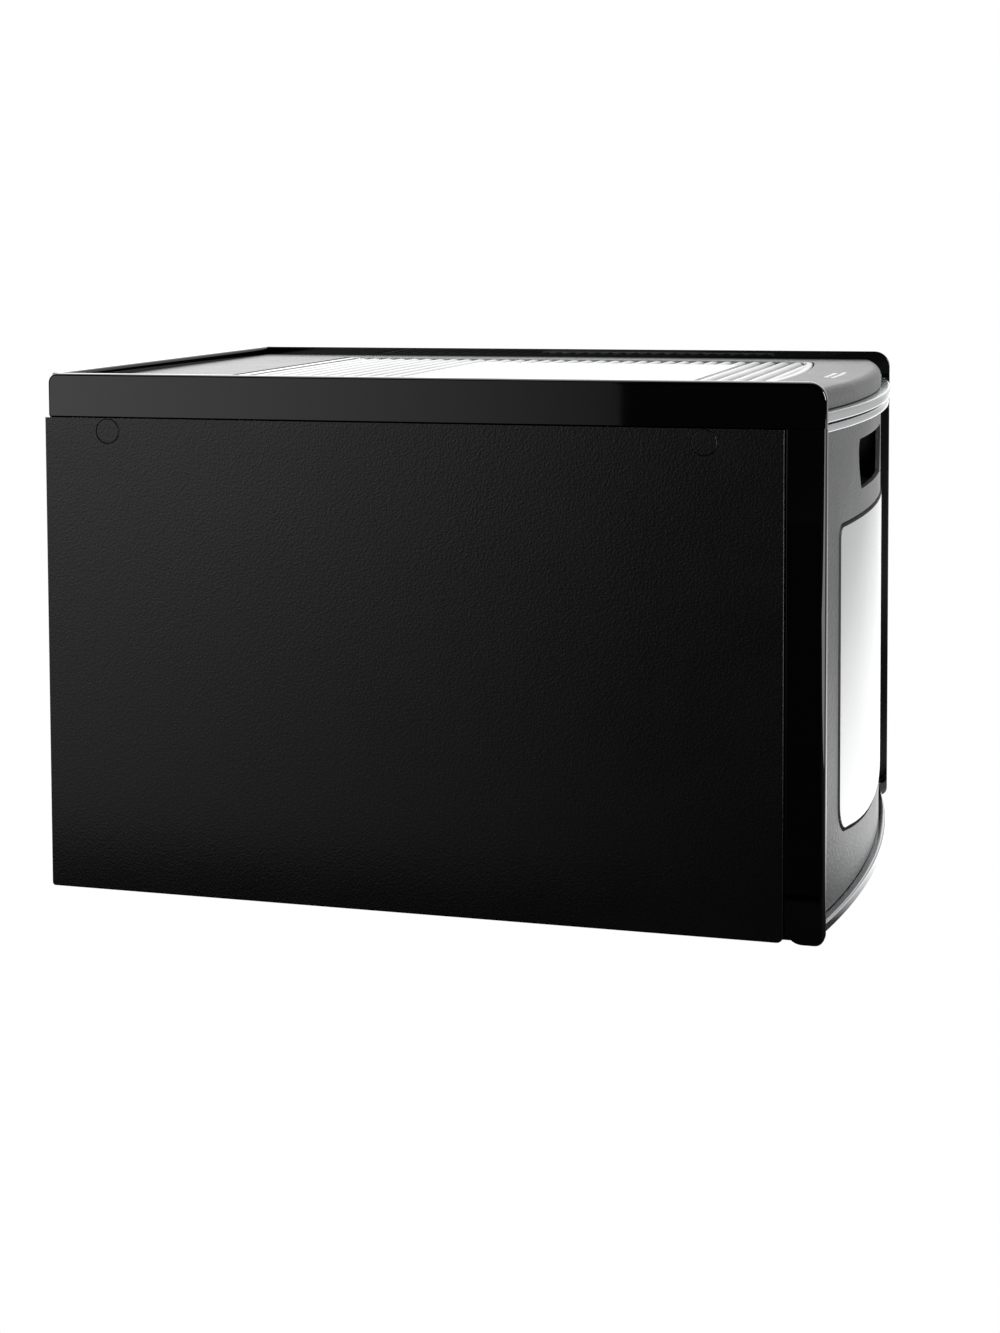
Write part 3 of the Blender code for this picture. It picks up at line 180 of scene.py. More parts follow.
def rounded_box(low, high, radii, steps=8):
    """A closed outline, anticlockwise from its low corner. Each corner is a quarter circle about a point
    one radius in from both sides; a radius of 0 leaves it square."""
    (u0, v0), (u1, v1) = low, high
    corners = ((u0, v0, 1, 1, 180), (u1, v0, -1, 1, 270), (u1, v1, -1, -1, 0), (u0, v1, 1, -1, 90))
    pieces = []
    for (u, v, su, sv, turn), r in zip(corners, radii):
        a = np.radians(turn + np.linspace(0, 90, steps + 1)) if r else np.zeros(1)
        centre = np.array([u + su * r, v + sv * r])
        pieces.append(centre + r * np.stack([np.cos(a), np.sin(a)], 1))
    return np.concatenate(pieces)


def inset(outline, distance):
    """Every point moved in by the distance along the sum of its two side normals over one plus their
    dot, so that the sides stay parallel."""
    side = np.roll(outline, -1, 0) - outline
    side /= np.linalg.norm(side, axis=1, keepdims=True)
    normal = np.stack([-side[:, 1], side[:, 0]], 1)
    before = np.roll(normal, 1, 0)
    dot = (normal * before).sum(1, keepdims=True)
    return outline + distance * (normal + before) / (1 + dot)


def surface(name, points, faces, material=None, body=None, slot=None, stands_for=(), smooth=35):
    """A closed mesh in its place, doubles merged and faces turned outwards, that moves with a body. A
    cutter is given no material or body. The slot argument is not used."""
    mesh = bpy.data.meshes.new(name)
    mesh.from_pydata(points.tolist(), [], faces)
    work = bmesh.new()
    work.from_mesh(mesh)
    bmesh.ops.remove_doubles(work, verts=work.verts, dist=1e-6)
    bmesh.ops.recalc_face_normals(work, faces=work.faces)
    work.to_mesh(mesh)
    work.free()
    mesh.shade_smooth()
    mesh.set_sharp_from_angle(angle=math.radians(smooth))
    made = bpy.data.objects.new(name, mesh)
    bpy.context.scene.collection.objects.link(made)
    if material:
        mesh.materials.append(material)
        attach(made, body)
    if stands_for:
        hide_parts(*stands_for)
    return made


def ring_faces(rings, around):
    """Quads between neighbouring rings of the same number of points, and a flat cap on each end."""
    k, i = np.meshgrid(np.arange(rings - 1), np.arange(around), indexing="ij")
    j = (i + 1) % around
    quads = np.stack([k * around + i, k * around + j, (k + 1) * around + j, (k + 1) * around + i], -1)
    last = (rings - 1) * around
    return quads.reshape(-1, 4).tolist() + [list(range(around))[::-1], list(range(last, last + around))]


HOLDING_RING = 0.0004


def circle(centre, radius, steps):
    """Points at equal turns about a centre, anticlockwise."""
    turn = np.radians(np.arange(steps) * 360 / steps)
    return np.asarray(centre) + radius * np.stack([np.cos(turn), np.sin(turn)], 1)


def slab_points(outline, low, high, axis, round_low=0.0, round_high=0.0, steps=5):
    """Rings of an outline stacked from low to high along an axis. Over the last radius before each face a
    ring is pulled in by r (1 - cos a) while it climbs by r sin a; one more ring holds the face flat."""
    rings = []
    for end, turn, r in ((low, 1, round_low), (high, -1, round_high)):
        a = np.radians(np.linspace(90, 0, steps + 1)) if r else np.zeros(1)
        part = [(r * (1 - math.cos(t)), end + turn * r * (1 - math.sin(t))) for t in a]
        part = [(r + HOLDING_RING, end)] + part if r else part
        rings += part if turn == 1 else part[::-1]
    layers = []
    order = {"X": (2, 0, 1), "Y": (0, 2, 1), "Z": (0, 1, 2)}[axis]
    for pulled, height in rings:
        flat = inset(outline, pulled) if pulled else outline
        layers.append(np.column_stack([flat, np.full(len(flat), height)])[:, order])
    return np.concatenate(layers), ring_faces(len(rings), len(outline))


def cut(piece, *cutters, operation="DIFFERENCE"):
    """Takes other meshes out of a piece for good, and removes them."""
    for other in cutters:
        boolean = piece.modifiers.new("cut", "BOOLEAN")
        boolean.operation, boolean.object, boolean.solver = operation, other, "EXACT"
        done = bpy.data.meshes.new_from_object(
            piece.evaluated_get(bpy.context.evaluated_depsgraph_get()))
        piece.modifiers.clear()
        piece.data = done
        bpy.data.objects.remove(other)
    piece.data.shade_smooth()
    piece.data.set_sharp_from_angle(angle=math.radians(35))


def trimmed(piece, low, high):
    """The piece cut square to the box from low to high."""
    box = rounded_box((low[0], low[1]), (high[0], high[1]), (0,) * 4)
    cut(piece, surface("trim_box", *slab_points(box, low[2], high[2], "Z")), operation="INTERSECT")


def wide(low, high, **grown):
    """A box's two corners, grown by a centimetre on every side but those that are named."""
    low, high = np.array(low) - 0.01, np.array(high) + 0.01
    for axis, (lowest, highest) in grown.items():
        k = "xyz".index(axis)
        low[k] = low[k] if lowest is None else lowest
        high[k] = high[k] if highest is None else highest
    return low, high


grained_black = finish("grained_black", (0.0012, 0.0012, 0.0013), 0.27, grain=(720.0, 0.00012, 0.9),
                       worn=(0.03, 0.03, 0.03), wear=0.2)
PANEL_EDGE = 0.0008
PANEL_SPARE = 0.004   # height above the panel that is trimmed off square
PANEL_FOOT_CORNERS = (0.004, 0.002)
SEAM_EASE = 0.0005
CAP_GAP = 0.0004
CAP_SEAT = 0.0012
CAP_EDGE = 0.0004
CUT_OVER = 0.001      # how far a cutter runs past the face that it opens
for side in ("left", "right"):
    low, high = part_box(f"side_panel_{side}")
    sheet = rounded_box((low[1], low[2]), (high[1], high[2] + PANEL_SPARE),
                        (*PANEL_FOOT_CORNERS, 0, 0))
    panel = surface(f"panel_{side}", *slab_points(sheet, low[0], high[0], "X",
                                                  PANEL_EDGE if side == "left" else 0.0,
                                                  PANEL_EDGE if side == "right" else 0.0),
                    grained_black, "cabinet", "grained_black", [f"side_panel_{side}"])
    trimmed(panel, *wide(low, high, z=(None, high[2] - SEAM_EASE)))
    for end in ("front", "rear"):
        c_low, c_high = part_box(f"cap_{end}_{side}")
        radius, middle = (c_high[2] - c_low[2]) / 2, (np.array(c_low) + np.array(c_high)) / 2
        disc, seat = circle(middle[1:], radius, 48), circle(middle[1:], radius + CAP_GAP, 48)
        face = ([c_low[0] - CAP_SEAT, c_high[0] + CUT_OVER] if side == "right"
                else [c_low[0] - CUT_OVER, c_high[0] + CAP_SEAT])
        cut(panel, surface("cap_seat", *slab_points(seat, *face, "X")))
        surface(f"screw_cap_{end}_{side}",
                *slab_points(disc, c_low[0], c_high[0], "X", CAP_EDGE if side == "left" else 0.0,
                             CAP_EDGE if side == "right" else 0.0, 3),
                grained_black, "cabinet", "grained_black", [f"cap_{end}_{side}"])


# ---- pillars and rails ----
# The front corners are gloss black posts, and the tray on top is held between two long rails with
# rounded ends and a low rear rail: piano-black mouldings with small polished radii.

gloss_black = finish("gloss_black", (0.0004, 0.0004, 0.0005), 0.02, grain=(400.0, 0.000002, 0.1),
                     smudge=0.03, worn=(0.02, 0.02, 0.02), wear=0.1)
# A near-black rough finish with almost no reflection: painted shade for the seams under the rails.
painted_seam_shade = finish("painted_seam_shade", (0.0002, 0.0002, 0.0002), 0.9, ior=1.02)
PILLAR_EDGE = 0.0035
SMALL_EDGE = 0.0004
FOOT_FRONT_ROUND, FOOT_REAR_ROUND = 0.006, 0.010
RAIL_EDGE = 0.0022
RAIL_INNER_EDGE = 0.0006
RAIL_REAR_ROUND, RAIL_FRONT_ROUND = 0.006, 0.011
RAIL_SPARE = 0.005    # depth below the rail that is trimmed off square
TONGUE_INNER = 0.1850
RAIL_TONGUE_OUTER = 0.1885
PILLAR_TONGUE_OUTER = 0.1873
for side in ("left", "right"):
    low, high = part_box(f"front_pillar_{side}")
    post = rounded_box((low[0], low[1]), (high[0], high[1]),
                       (PILLAR_EDGE if side == "left" else SMALL_EDGE,
                        PILLAR_EDGE if side == "right" else SMALL_EDGE, SMALL_EDGE, SMALL_EDGE), 6)
    pillar = surface(f"pillar_{side}", *slab_points(post, low[2], high[2], "Z"), gloss_black,
                     "cabinet", "gloss_black", [f"front_pillar_{side}"])
    foot = rounded_box((low[1], low[2]), (high[1], high[2]), (FOOT_FRONT_ROUND, FOOT_REAR_ROUND, 0, 0))
    cut(pillar, surface("pillar_foot", *slab_points(foot, low[0] - CUT_OVER, high[0] + CUT_OVER, "X")),
        operation="INTERSECT")
    low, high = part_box(f"rail_{side}")
    bar = rounded_box((low[1], low[2] - RAIL_SPARE), (high[1], high[2]),
                      (0, 0, RAIL_REAR_ROUND, RAIL_FRONT_ROUND), 10)
    edges = (RAIL_EDGE, RAIL_INNER_EDGE) if side == "left" else (RAIL_INNER_EDGE, RAIL_EDGE)
    rail = surface(f"tray_rail_{side}", *slab_points(bar, low[0], high[0], "X", *edges, 6), gloss_black,
                   "cabinet", "gloss_black", [f"rail_{side}"])
    trimmed(rail, *wide(low, high, z=(low[2], None)))
# Strips stand behind the seams under the rails and beside the pillars, so no light comes through them.
# The one under each rail is near black and dull, with almost no reflection: painted shade that makes its seam
# read as a dark line.
for side, near in (("left", -1), ("right", 1)):
    low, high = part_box(f"rail_{side}")
    inner, outer = sorted((near * TONGUE_INNER, near * RAIL_TONGUE_OUTER))
    tongue = rounded_box((inner, low[1] + 0.002), (outer, high[1] - 0.0005), (0,) * 4)
    surface(f"rail_tongue_{side}", *slab_points(tongue, low[2] - 0.0005 - SEAM_EASE, low[2] + 0.001, "Z"),
            painted_seam_shade, "cabinet", "inner_black")
    post_low, post_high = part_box(f"front_pillar_{side}")
    inner, outer = sorted((near * TONGUE_INNER, near * PILLAR_TONGUE_OUTER))
    tongue = rounded_box((inner, post_high[1] - 0.0015), (outer, post_high[1] + 0.0035), (0,) * 4)
    surface(f"pillar_tongue_{side}", *slab_points(tongue, post_low[2] + 0.012, post_high[2] - 0.001, "Z"),
            gloss_black, "cabinet", "gloss_black")
low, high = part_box("rail_rear")
bar = rounded_box((low[1], low[2]), (high[1], high[2]), (SMALL_EDGE, SMALL_EDGE, RAIL_EDGE, RAIL_EDGE), 6)
surface("tray_rail_rear", *slab_points(bar, low[0], high[0], "X"), gloss_black, "cabinet", "gloss_black",
        ["rail_rear"])


# ---- deck and nose ----
# One charcoal moulding makes the sunk top around the lid and rolls over into a bowed nose that shows
# between the two chrome bands. A short white mark is printed on its top edge.

BOW_RADIUS = 0.940


def bow(x):
    """How far the front has fallen back at x: the radius less the root of radius squared less x squared."""
    return BOW_RADIUS - np.sqrt(BOW_RADIUS ** 2 - x ** 2)


def bowed_bar(section, half, steps, drop=None):
    """A closed section of (y, z, follow) carried from -half to half: y falls back with the bow by the
    share given by follow, plus drop(x) where a drop is given. Flat caps close the ends."""
    x = np.linspace(-half, half, steps + 1)
    back = bow(x) + (drop(x) if drop else 0.0)
    y = section[None, :, 0] + section[None, :, 2] * back[:, None]
    z = np.broadcast_to(section[None, :, 1], y.shape)
    points = np.stack([np.broadcast_to(x[:, None], y.shape), y, z], -1)
    return points.reshape(-1, 3), ring_faces(steps + 1, len(section))


def bowed_outline(front, rear, half, front_corner, rear_corner, steps=10):
    """A closed outline with a bowed front: the bow between the corners, and each corner a quarter
    circle; anticlockwise from the front left."""
    x = np.linspace(-half + front_corner, half - front_corner, 41)
    line = np.stack([x, front + bow(x)], 1)
    a = np.radians(np.linspace(0, 90, steps + 1))[1:]
    start = line[-1] + [0, front_corner]
    right = start + front_corner * np.stack([np.sin(a), -np.cos(a)], 1)
    b = np.radians(np.linspace(0, 90, steps + 1))
    end = np.array([half - rear_corner, rear - rear_corner])
    back = end + rear_corner * np.stack([np.cos(b), np.sin(b)], 1)
    half_line = np.concatenate([right, back])
    return np.concatenate([line, half_line, (half_line * [-1, 1])[::-1]])


def rolled_section(y_front, y_back, z_low, z_high, radii, follow_back=1.0, steps=6):
    """The section of a bowed bar: a rounded box in y and z, with the share of the bow for each point."""
    line = rounded_box((y_front, z_low), (y_back, z_high), radii, steps)
    follow = np.where(line[:, 0] < (y_front + y_back) / 2, 1.0, follow_back)
    return np.column_stack([line, follow])


charcoal = finish("charcoal", (0.058, 0.059, 0.061), 0.32, grain=(430.0, 0.00035, 1.0), mottle=0.1,
                  worn=(0.12, 0.12, 0.12), wear=0.2)
LID_SLIT = 0.0010
NOSE_ROUND = 0.0065
DECK_EDGES = (0.0006, 0.0004, 0.0004)
OPENING_REAR_CORNER = 0.0005
OPENING_OVER = 0.002
KEY_GAP = 0.0004
KEY_CORNER = 0.0005
low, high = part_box("top_deck")
lid_low, lid_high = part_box("ribbed_lid")
LID_CORNER = 0.022
section = rolled_section(low[1], high[1], low[2], high[2], (*DECK_EDGES, NOSE_ROUND), 0.0, 10)
deck = surface("deck", *bowed_bar(section, high[0], 72), charcoal, "cabinet", "charcoal", ["top_deck"])
opening = bowed_outline(lid_low[1] - LID_SLIT, lid_high[1] + LID_SLIT, lid_high[0] + LID_SLIT,
                        LID_CORNER + LID_SLIT, OPENING_REAR_CORNER)
cut(deck, surface("lid_opening", *slab_points(opening, low[2] - OPENING_OVER, high[2] + OPENING_OVER, "Z")))
for key in ("start", "stop"):
    key_low, key_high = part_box(f"{key}_button")
    hole = rounded_box((key_low[0] - KEY_GAP, key_low[2] - KEY_GAP),
                       (key_high[0] + KEY_GAP, key_high[2] + KEY_GAP), (KEY_CORNER,) * 4)
    cut(deck, surface(f"{key}_hole", *slab_points(hole, low[1] - 0.01, low[1] + 0.03, "Y")))


def joined(*parts):
    """Several pieces' points and faces as one list of each."""
    faces, count = [], 0
    for points, quads in parts:
        faces += [[i + count for i in quad] for quad in quads]
        count += len(points)
    return np.concatenate([points for points, quads in parts]), faces


mark_paint = finish("mark_paint", (0.75, 0.76, 0.77), 0.5, smudge=0.02)
MARK_START, DASH, DASH_GAP, LINE_STEP = -0.046, 0.0095, 0.0030, 0.0052
MARK_FROM_FRONT, DASH_TALL, DASH_CORNER = 0.0190, 0.0028, 0.001
dashes = []
for line, count in enumerate((5, 4)):
    for k in range(count):
        x = MARK_START + line * DASH / 2 + k * (DASH + DASH_GAP)
        y = low[1] + MARK_FROM_FRONT + line * LINE_STEP + float(bow(x))
        dash = rounded_box((x, y), (x + DASH, y + DASH_TALL), (DASH_CORNER,) * 4, 3)
        dashes.append(slab_points(dash, high[2] - 0.0001, high[2] + 0.00006, "Z"))
surface("printed_mark", *joined(*dashes), mark_paint, "cabinet", "charcoal")


# ---- chrome bands ----
# Three bright bars cross the front: one under the rails, one on the drawer's top edge, one at its foot.
# Each is drawn bar with rolled edges, bent to the bow, with its ends tucked back behind the pillars.

chrome = finish("chrome", (0.68, 0.69, 0.70), 0.14, metallic=1.0, grain=(300.0, 0.000003, 0.1),
                smudge=0.06, mottle=0.05)
END_TAPER, END_TUCK = 0.014, 0.0035
BAND_DEPTH, BAND_ROUND, BAND_EDGE = 0.008, 0.0016, 0.0003


def tuck(x):
    """How far a band's ends fall back: END_TUCK times the square of a rise from 0 to 1 over END_TAPER."""
    return END_TUCK * np.clip((np.abs(x) - high[0] + END_TAPER) / END_TAPER, 0, 1) ** 2


for node, body in (("upper_band", "cabinet"), ("drawer_band_top", "drawer"),
                   ("drawer_band_bottom", "drawer")):
    low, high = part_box(node)
    section = rolled_section(low[1], low[1] + BAND_DEPTH, low[2], high[2],
                             (BAND_ROUND, BAND_EDGE, BAND_EDGE, BAND_ROUND))
    surface(f"{node}_bar", *bowed_bar(section, high[0], 72, tuck), chrome, body, "chrome", [node])


# ---- lid ----
# A pale silver moulding fills the opening in the deck. Half-round cross ribs lie inside a rounded lip,
# and a smooth blank plate is let into the middle of them. It turns on two steel pins at its rear edge.

silver_lid = finish("silver_lid", (0.50, 0.505, 0.51), 0.27, metallic=0.85, grain=(1400.0, 0.00001, 0.3),
                    mottle=0.05, worn=(0.8, 0.8, 0.8), wear=0.15)
LIP = 0.0045
REAR_RIM = 0.010
RIB_PITCH = 0.0103
RIB_WIDTH = 0.0091
RIB_HEIGHT = 0.0040
RIB_TOP = 0.0002
RIB_SUNK = 0.0003
LID_EDGE = 0.0014
LID_REAR_CORNER = 0.003
rib_floor = lid_high[2] - RIB_TOP - RIB_HEIGHT
outline = bowed_outline(lid_low[1], lid_high[1], lid_high[0], LID_CORNER, LID_REAR_CORNER)
lid = surface("lid_shell", *slab_points(outline, lid_low[2], lid_high[2], "Z", 0.0, LID_EDGE), silver_lid,
              "lid", "silver_lid", ["ribbed_lid"])
field = bowed_outline(lid_low[1] + LIP, lid_high[1] - REAR_RIM, lid_high[0] - LIP, LID_CORNER - LIP,
                      LID_REAR_CORNER)
cut(lid, surface("rib_field", *slab_points(field, rib_floor, lid_high[2] + OPENING_OVER, "Z")))
swing = np.radians(np.linspace(0, 90, 9))
REAR_ROUND, ROUND_OVER = 0.0040, 0.006
corner = np.array([lid_high[1] - REAR_ROUND, lid_high[2] - REAR_ROUND])
line = corner + REAR_ROUND * np.stack([np.cos(swing), np.sin(swing)], 1)
line = np.concatenate([line, corner + [[0, ROUND_OVER], [ROUND_OVER, ROUND_OVER], [ROUND_OVER, 0]]])
cut(lid, surface("rear_round", *slab_points(line, -lid_high[0] - 0.01, lid_high[0] + 0.01, "X")))


def rib_points(start, end, y, steps=14):
    """A half-round bar with rounded ends: its section is an arc of half ellipse whose size at each end
    falls off as the root of 1 - e squared, where e runs from 0 to 1 over the end's half width."""
    e = np.linspace(0, 1, 6)
    reach = RIB_WIDTH / 2
    x = np.concatenate([start + reach * (1 - e[::-1]), end - reach * (1 - e)])
    size = np.concatenate([np.sqrt(1 - e[::-1] ** 2), np.sqrt(1 - e ** 2)])
    a = np.radians(np.linspace(0, 180, steps + 1))
    across = y + reach * size[:, None] * np.cos(a)
    up = rib_floor - RIB_SUNK + (RIB_HEIGHT + RIB_SUNK) * size[:, None] * np.sin(a) ** 0.8
    points = np.stack([np.broadcast_to(x[:, None], up.shape), across, up], -1)
    return points.reshape(-1, 3), ring_faces(len(x), steps + 1)


plate_low, plate_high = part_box("lid_plate")
rows = int((lid_high[1] - REAR_RIM - lid_low[1] - LIP) / RIB_PITCH)
RIB_END_GAP, PLATE_GAP, PLATE_SUNK = 0.0008, 0.0010, 0.0002
PLATE_CORNER, PLATE_EDGE = 0.0015, 0.0006
rib_reach = lid_high[0] - LIP - RIB_END_GAP
ribs = []
for row in range(rows):
    y = lid_high[1] - REAR_RIM - (row + 0.5) * RIB_PITCH
    spans = [(-rib_reach, rib_reach)]
    if plate_low[1] < y < plate_high[1]:
        spans = [(-rib_reach, plate_low[0] - PLATE_GAP), (plate_high[0] + PLATE_GAP, rib_reach)]
    ribs += [rib_points(start, end, y) for start, end in spans]
lid_ribs = surface("lid_ribs", *joined(*ribs), silver_lid, "lid", "silver_lid", smooth=60)
within = bowed_outline(lid_low[1] + LIP + 0.0004, lid_high[1] - REAR_RIM, lid_high[0] - LIP - 0.0003,
                       LID_CORNER - LIP, LID_REAR_CORNER)
cut(lid_ribs, surface("rib_bounds", *slab_points(within, rib_floor - PLATE_SUNK, lid_high[2] + OPENING_OVER,
                                                 "Z")), operation="INTERSECT")
plate_silver = finish("plate_silver", (0.60, 0.605, 0.61), 0.2, metallic=0.85, grain=(600.0, 0.000005, 0.2),
                      mottle=0.04)
blank = rounded_box((plate_low[0], plate_low[1]), (plate_high[0], plate_high[1]), (PLATE_CORNER,) * 4, 4)
surface("blank_plate", *slab_points(blank, rib_floor - PLATE_SUNK, plate_high[2], "Z", 0.0, PLATE_EDGE),
        plate_silver, "lid", "silver_lid", ["lid_plate"])


# ---- drawer front, inlay and trim ----
# A charcoal bowed front 3 mm thick carries a hand slot above a silver inlay that is set into a
# window with rounded corners. Thin bright strips run down both sides.

FRONT_THICK, FRONT_EDGE = 0.003, 0.0006
low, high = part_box("drawer_front")
front_y = low[1]
section = rolled_section(front_y, front_y + FRONT_THICK, low[2], high[2],
                         (FRONT_EDGE, BAND_EDGE, BAND_EDGE, FRONT_EDGE), steps=3)
front = surface("front_panel", *bowed_bar(section, high[0], 72), charcoal, "drawer", "charcoal",
                ["drawer_front"])


def slot_outline():
    """The hand slot, anticlockwise in x and z: each end is the quadratic curve (1-t)^2 A + 2t(1-t) B +
    t^2 C from the bottom corner A through the pull B to the top corner C."""
    bottom, top, half_low, pull, half_high, pull_up = 0.2590, 0.2910, 0.057, 0.073, 0.063, 0.024
    t = np.linspace(0, 1, 15)[:, None]
    a, b, c = np.array([[half_low, bottom], [pull, bottom + pull_up], [half_high, top]])
    side = (1 - t) ** 2 * a + 2 * t * (1 - t) * b + t ** 2 * c
    return np.concatenate([side, (side * [-1, 1])[::-1]])


def window_outline(grow):
    """The window, anticlockwise in x and z: small corners on top, large ones below, and a bottom edge
    that hangs as an arc between them."""
    half, bottom, top = 0.1227 - grow, 0.0525 + grow, 0.2440 - grow
    foot_corner, top_corner, arc = 0.020, 0.009, 0.694
    line = rounded_box((-half, bottom), (half, top),
                       (foot_corner - grow, foot_corner - grow, top_corner - grow, top_corner - grow))
    straight = np.linspace(-half + foot_corner, half - foot_corner, 30)[1:-1]
    sag = np.sqrt(arc ** 2 - straight ** 2) - math.sqrt(arc ** 2 - (half - foot_corner) ** 2)
    bottom_edge = np.stack([straight, bottom - sag], 1)
    return np.concatenate([line[:9], bottom_edge, line[9:]])


FRONT_SPAN = (front_y - 0.01, front_y + 0.05)
cut(front, surface("hand_slot", *slab_points(slot_outline(), *FRONT_SPAN, "Y")),
    surface("window", *slab_points(window_outline(0.0), *FRONT_SPAN, "Y")))

roll = front.modifiers.new("edges", "BEVEL")
roll.width, roll.segments, roll.limit_method, roll.harden_normals = FRONT_EDGE, 2, "ANGLE", True
roll.angle_limit = math.radians(40)
silver_inlay = finish("silver_inlay", (0.62, 0.625, 0.63), 0.24, metallic=0.85, grain=(1800.0, 0.000004, 0.2),
                      mottle=0.0, smudge=0.015)
INLAY_SEAM, INLAY_THICK, INLAY_HALF, INLAY_SPARE = 0.0025, 0.0035, 0.13, 0.01
low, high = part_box("inlay_panel")
inlay_y = low[1]
section = rolled_section(inlay_y, inlay_y + INLAY_THICK, low[2] - INLAY_SPARE, high[2] + INLAY_SPARE,
                         (0, 0, 0, 0))
inlay = surface("inlay", *bowed_bar(section, INLAY_HALF, 52), silver_inlay, "drawer", "silver_inlay",
                ["inlay_panel"])
cut(inlay, surface("inlay_edge", *slab_points(window_outline(INLAY_SEAM), *FRONT_SPAN, "Y")),
    operation="INTERSECT")


# ---- the pieces kept from the frame ----
# The tub, rams, screws, runners and the drive are plain sheet, turned and moulded parts, so they keep
# their own shapes and take a finish each: zinc sheet, bright turned steel, paint, rubber and plastic. The
# hand slot's cup and the inlay's backing keep their shapes too but take a near-black painted shade.

zinc = finish("zinc_steel", (0.50, 0.51, 0.52), 0.38, metallic=0.9, grain=(120.0, 0.00002, 0.3), mottle=0.12,
              smudge=0.2, worn=(0.72, 0.72, 0.73), wear=0.4)
bright = finish("bright_steel", (0.68, 0.68, 0.69), 0.2, metallic=1.0, grain=(700.0, 0.00001, 0.3),
                smudge=0.15, worn=(0.85, 0.85, 0.86), wear=0.3)
inner_black = finish("inner_black", (0.018, 0.018, 0.019), 0.5, grain=(1000.0, 0.00004, 0.5), smudge=0.1,
                     worn=(0.07, 0.07, 0.07), wear=0.4)
# A near-black rough finish that reflects little: painted shade inside the hand slot's cup and on the backing
# seen through the inlay's seam.
painted_pocket_shade = finish("painted_pocket_shade", (0.0015, 0.0015, 0.0016), 0.65, ior=1.3, smudge=0.02)
motor_paint = finish("motor_paint", (0.035, 0.045, 0.06), 0.35, grain=(260.0, 0.00003, 0.3), smudge=0.15,
                     worn=(0.3, 0.3, 0.3), wear=0.5)
rubber = finish("rubber", (0.012, 0.012, 0.012), 0.75, grain=(800.0, 0.00006, 0.6), smudge=0.1)
stop_red = finish("stop_key", (0.36, 0.012, 0.010), 0.28, coat=0.2)
start_green = finish("start_key", (0.015, 0.20, 0.045), 0.28, coat=0.2)
board = finish("board_green", (0.01, 0.10, 0.035), 0.4, coat=0.3, grain=(300.0, 0.00003, 0.4))
kept = {
    "zinc_steel": (zinc, ["drawer_bin", "drawer_bracket_left", "drawer_bracket_right", "ram_plate",
                          "runner_inner_left", "runner_inner_right", "runner_outer_left",
                          "runner_outer_right", "bulkhead", "bearing_bridge", "motor_bracket"]),
    "bright_steel": (bright, ["hinge_pin_left", "hinge_pin_right",
                              "nut_pulley_left", "nut_pulley_right", "motor_pulley"]),
    # The hand slot's cup and the inlay's backing take the painted shade finish.
    "grained_black": (painted_pocket_shade, ["handle_cup", "inlay_backing"]),
    "inner_black": (inner_black, ["base_tray", "mechanism_cover",
                                  "rocker_bezel", "power_inlet", "rear_panel"]),
    "motor_paint": (motor_paint, ["motor"]), "rubber": (rubber, ["drive_belt"] + [
        f"foot_{end}_{side}" for end in ("front", "rear") for side in ("left", "right")]),
    "stop_key": (stop_red, ["stop_button"]), "start_key": (start_green, ["start_button"]),
    "board_green": (board, ["control_board"]), "chrome": (chrome, ["trim_strip_left", "trim_strip_right"]),
    "gloss_black": (gloss_black, ["power_rocker"]),
}
for slot, (material, names) in kept.items():
    for name in names:
        piece = nodes[name]
        piece.data.materials.clear()
        piece.data.materials.append(material)


# ---- lead screws ----
# Two bright steel screws push the ram. Each has a three-start rounded thread of 12 mm lead, rolled on a
# 14 mm bar, and a flange that is bolted to the ram's rear face.

LEAD, STARTS, THREAD_DEPTH, THREAD_RADIUS = 0.012, 3, 0.0011, 0.007
FLANGE_THICK, BOLT_FROM_AXIS, BOLT_RADIUS, BOLT_HEIGHT, BOLT_SUNK = 0.0034, 0.0105, 0.0021, 0.0016, 0.0002


def thread_points(centre, radius, start, end, around=36):
    """A threaded bar along y: its radius is the full one less the depth times a clipped cosine of
    STARTS (y / LEAD - turn / 360 degrees), which makes rounded crests with flat roots."""
    y = np.linspace(start, end, int((end - start) / 0.0004))
    turn = np.linspace(0, 2 * math.pi, around, endpoint=False)
    wave = np.cos(2 * math.pi * STARTS * (y[:, None] / LEAD - turn / (2 * math.pi)))
    r = radius - THREAD_DEPTH * np.clip(0.5 + 0.9 * wave, 0, 1)
    points = np.stack([centre[0] + r * np.cos(turn), np.broadcast_to(y[:, None], r.shape),
                       centre[1] + r * np.sin(turn)], -1)
    return points.reshape(-1, 3), ring_faces(len(y), around)


for side in ("left", "right"):
    low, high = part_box(f"lead_screw_{side}")
    centre = ((low[0] + high[0]) / 2, (low[2] + high[2]) / 2)
    flange = slab_points(circle(centre, (high[2] - low[2]) / 2, 40), low[1], low[1] + FLANGE_THICK, "Y",
                         0.0004, 0.0006, 3)
    bar = thread_points(centre, THREAD_RADIUS, low[1] + FLANGE_THICK - 0.0005, high[1])
    heads = [slab_points(circle((centre[0] + BOLT_FROM_AXIS * sx, centre[1] + BOLT_FROM_AXIS * sz),
                                BOLT_RADIUS, 6),
                         low[1] + FLANGE_THICK - BOLT_SUNK, low[1] + FLANGE_THICK + BOLT_HEIGHT, "Y")
             for sx, sz in ((0.7, 0.7), (-0.7, 0.7), (0.7, -0.7), (-0.7, -0.7))]
    surface(f"threaded_screw_{side}", *joined(flange, bar, *heads), bright, "ram", "bright_steel",
            [f"lead_screw_{side}"])


# ---- fasteners and inlet blades ----
# Six cross-headed zinc screws hold the rear panel, and three flat blades stand in the power inlet.

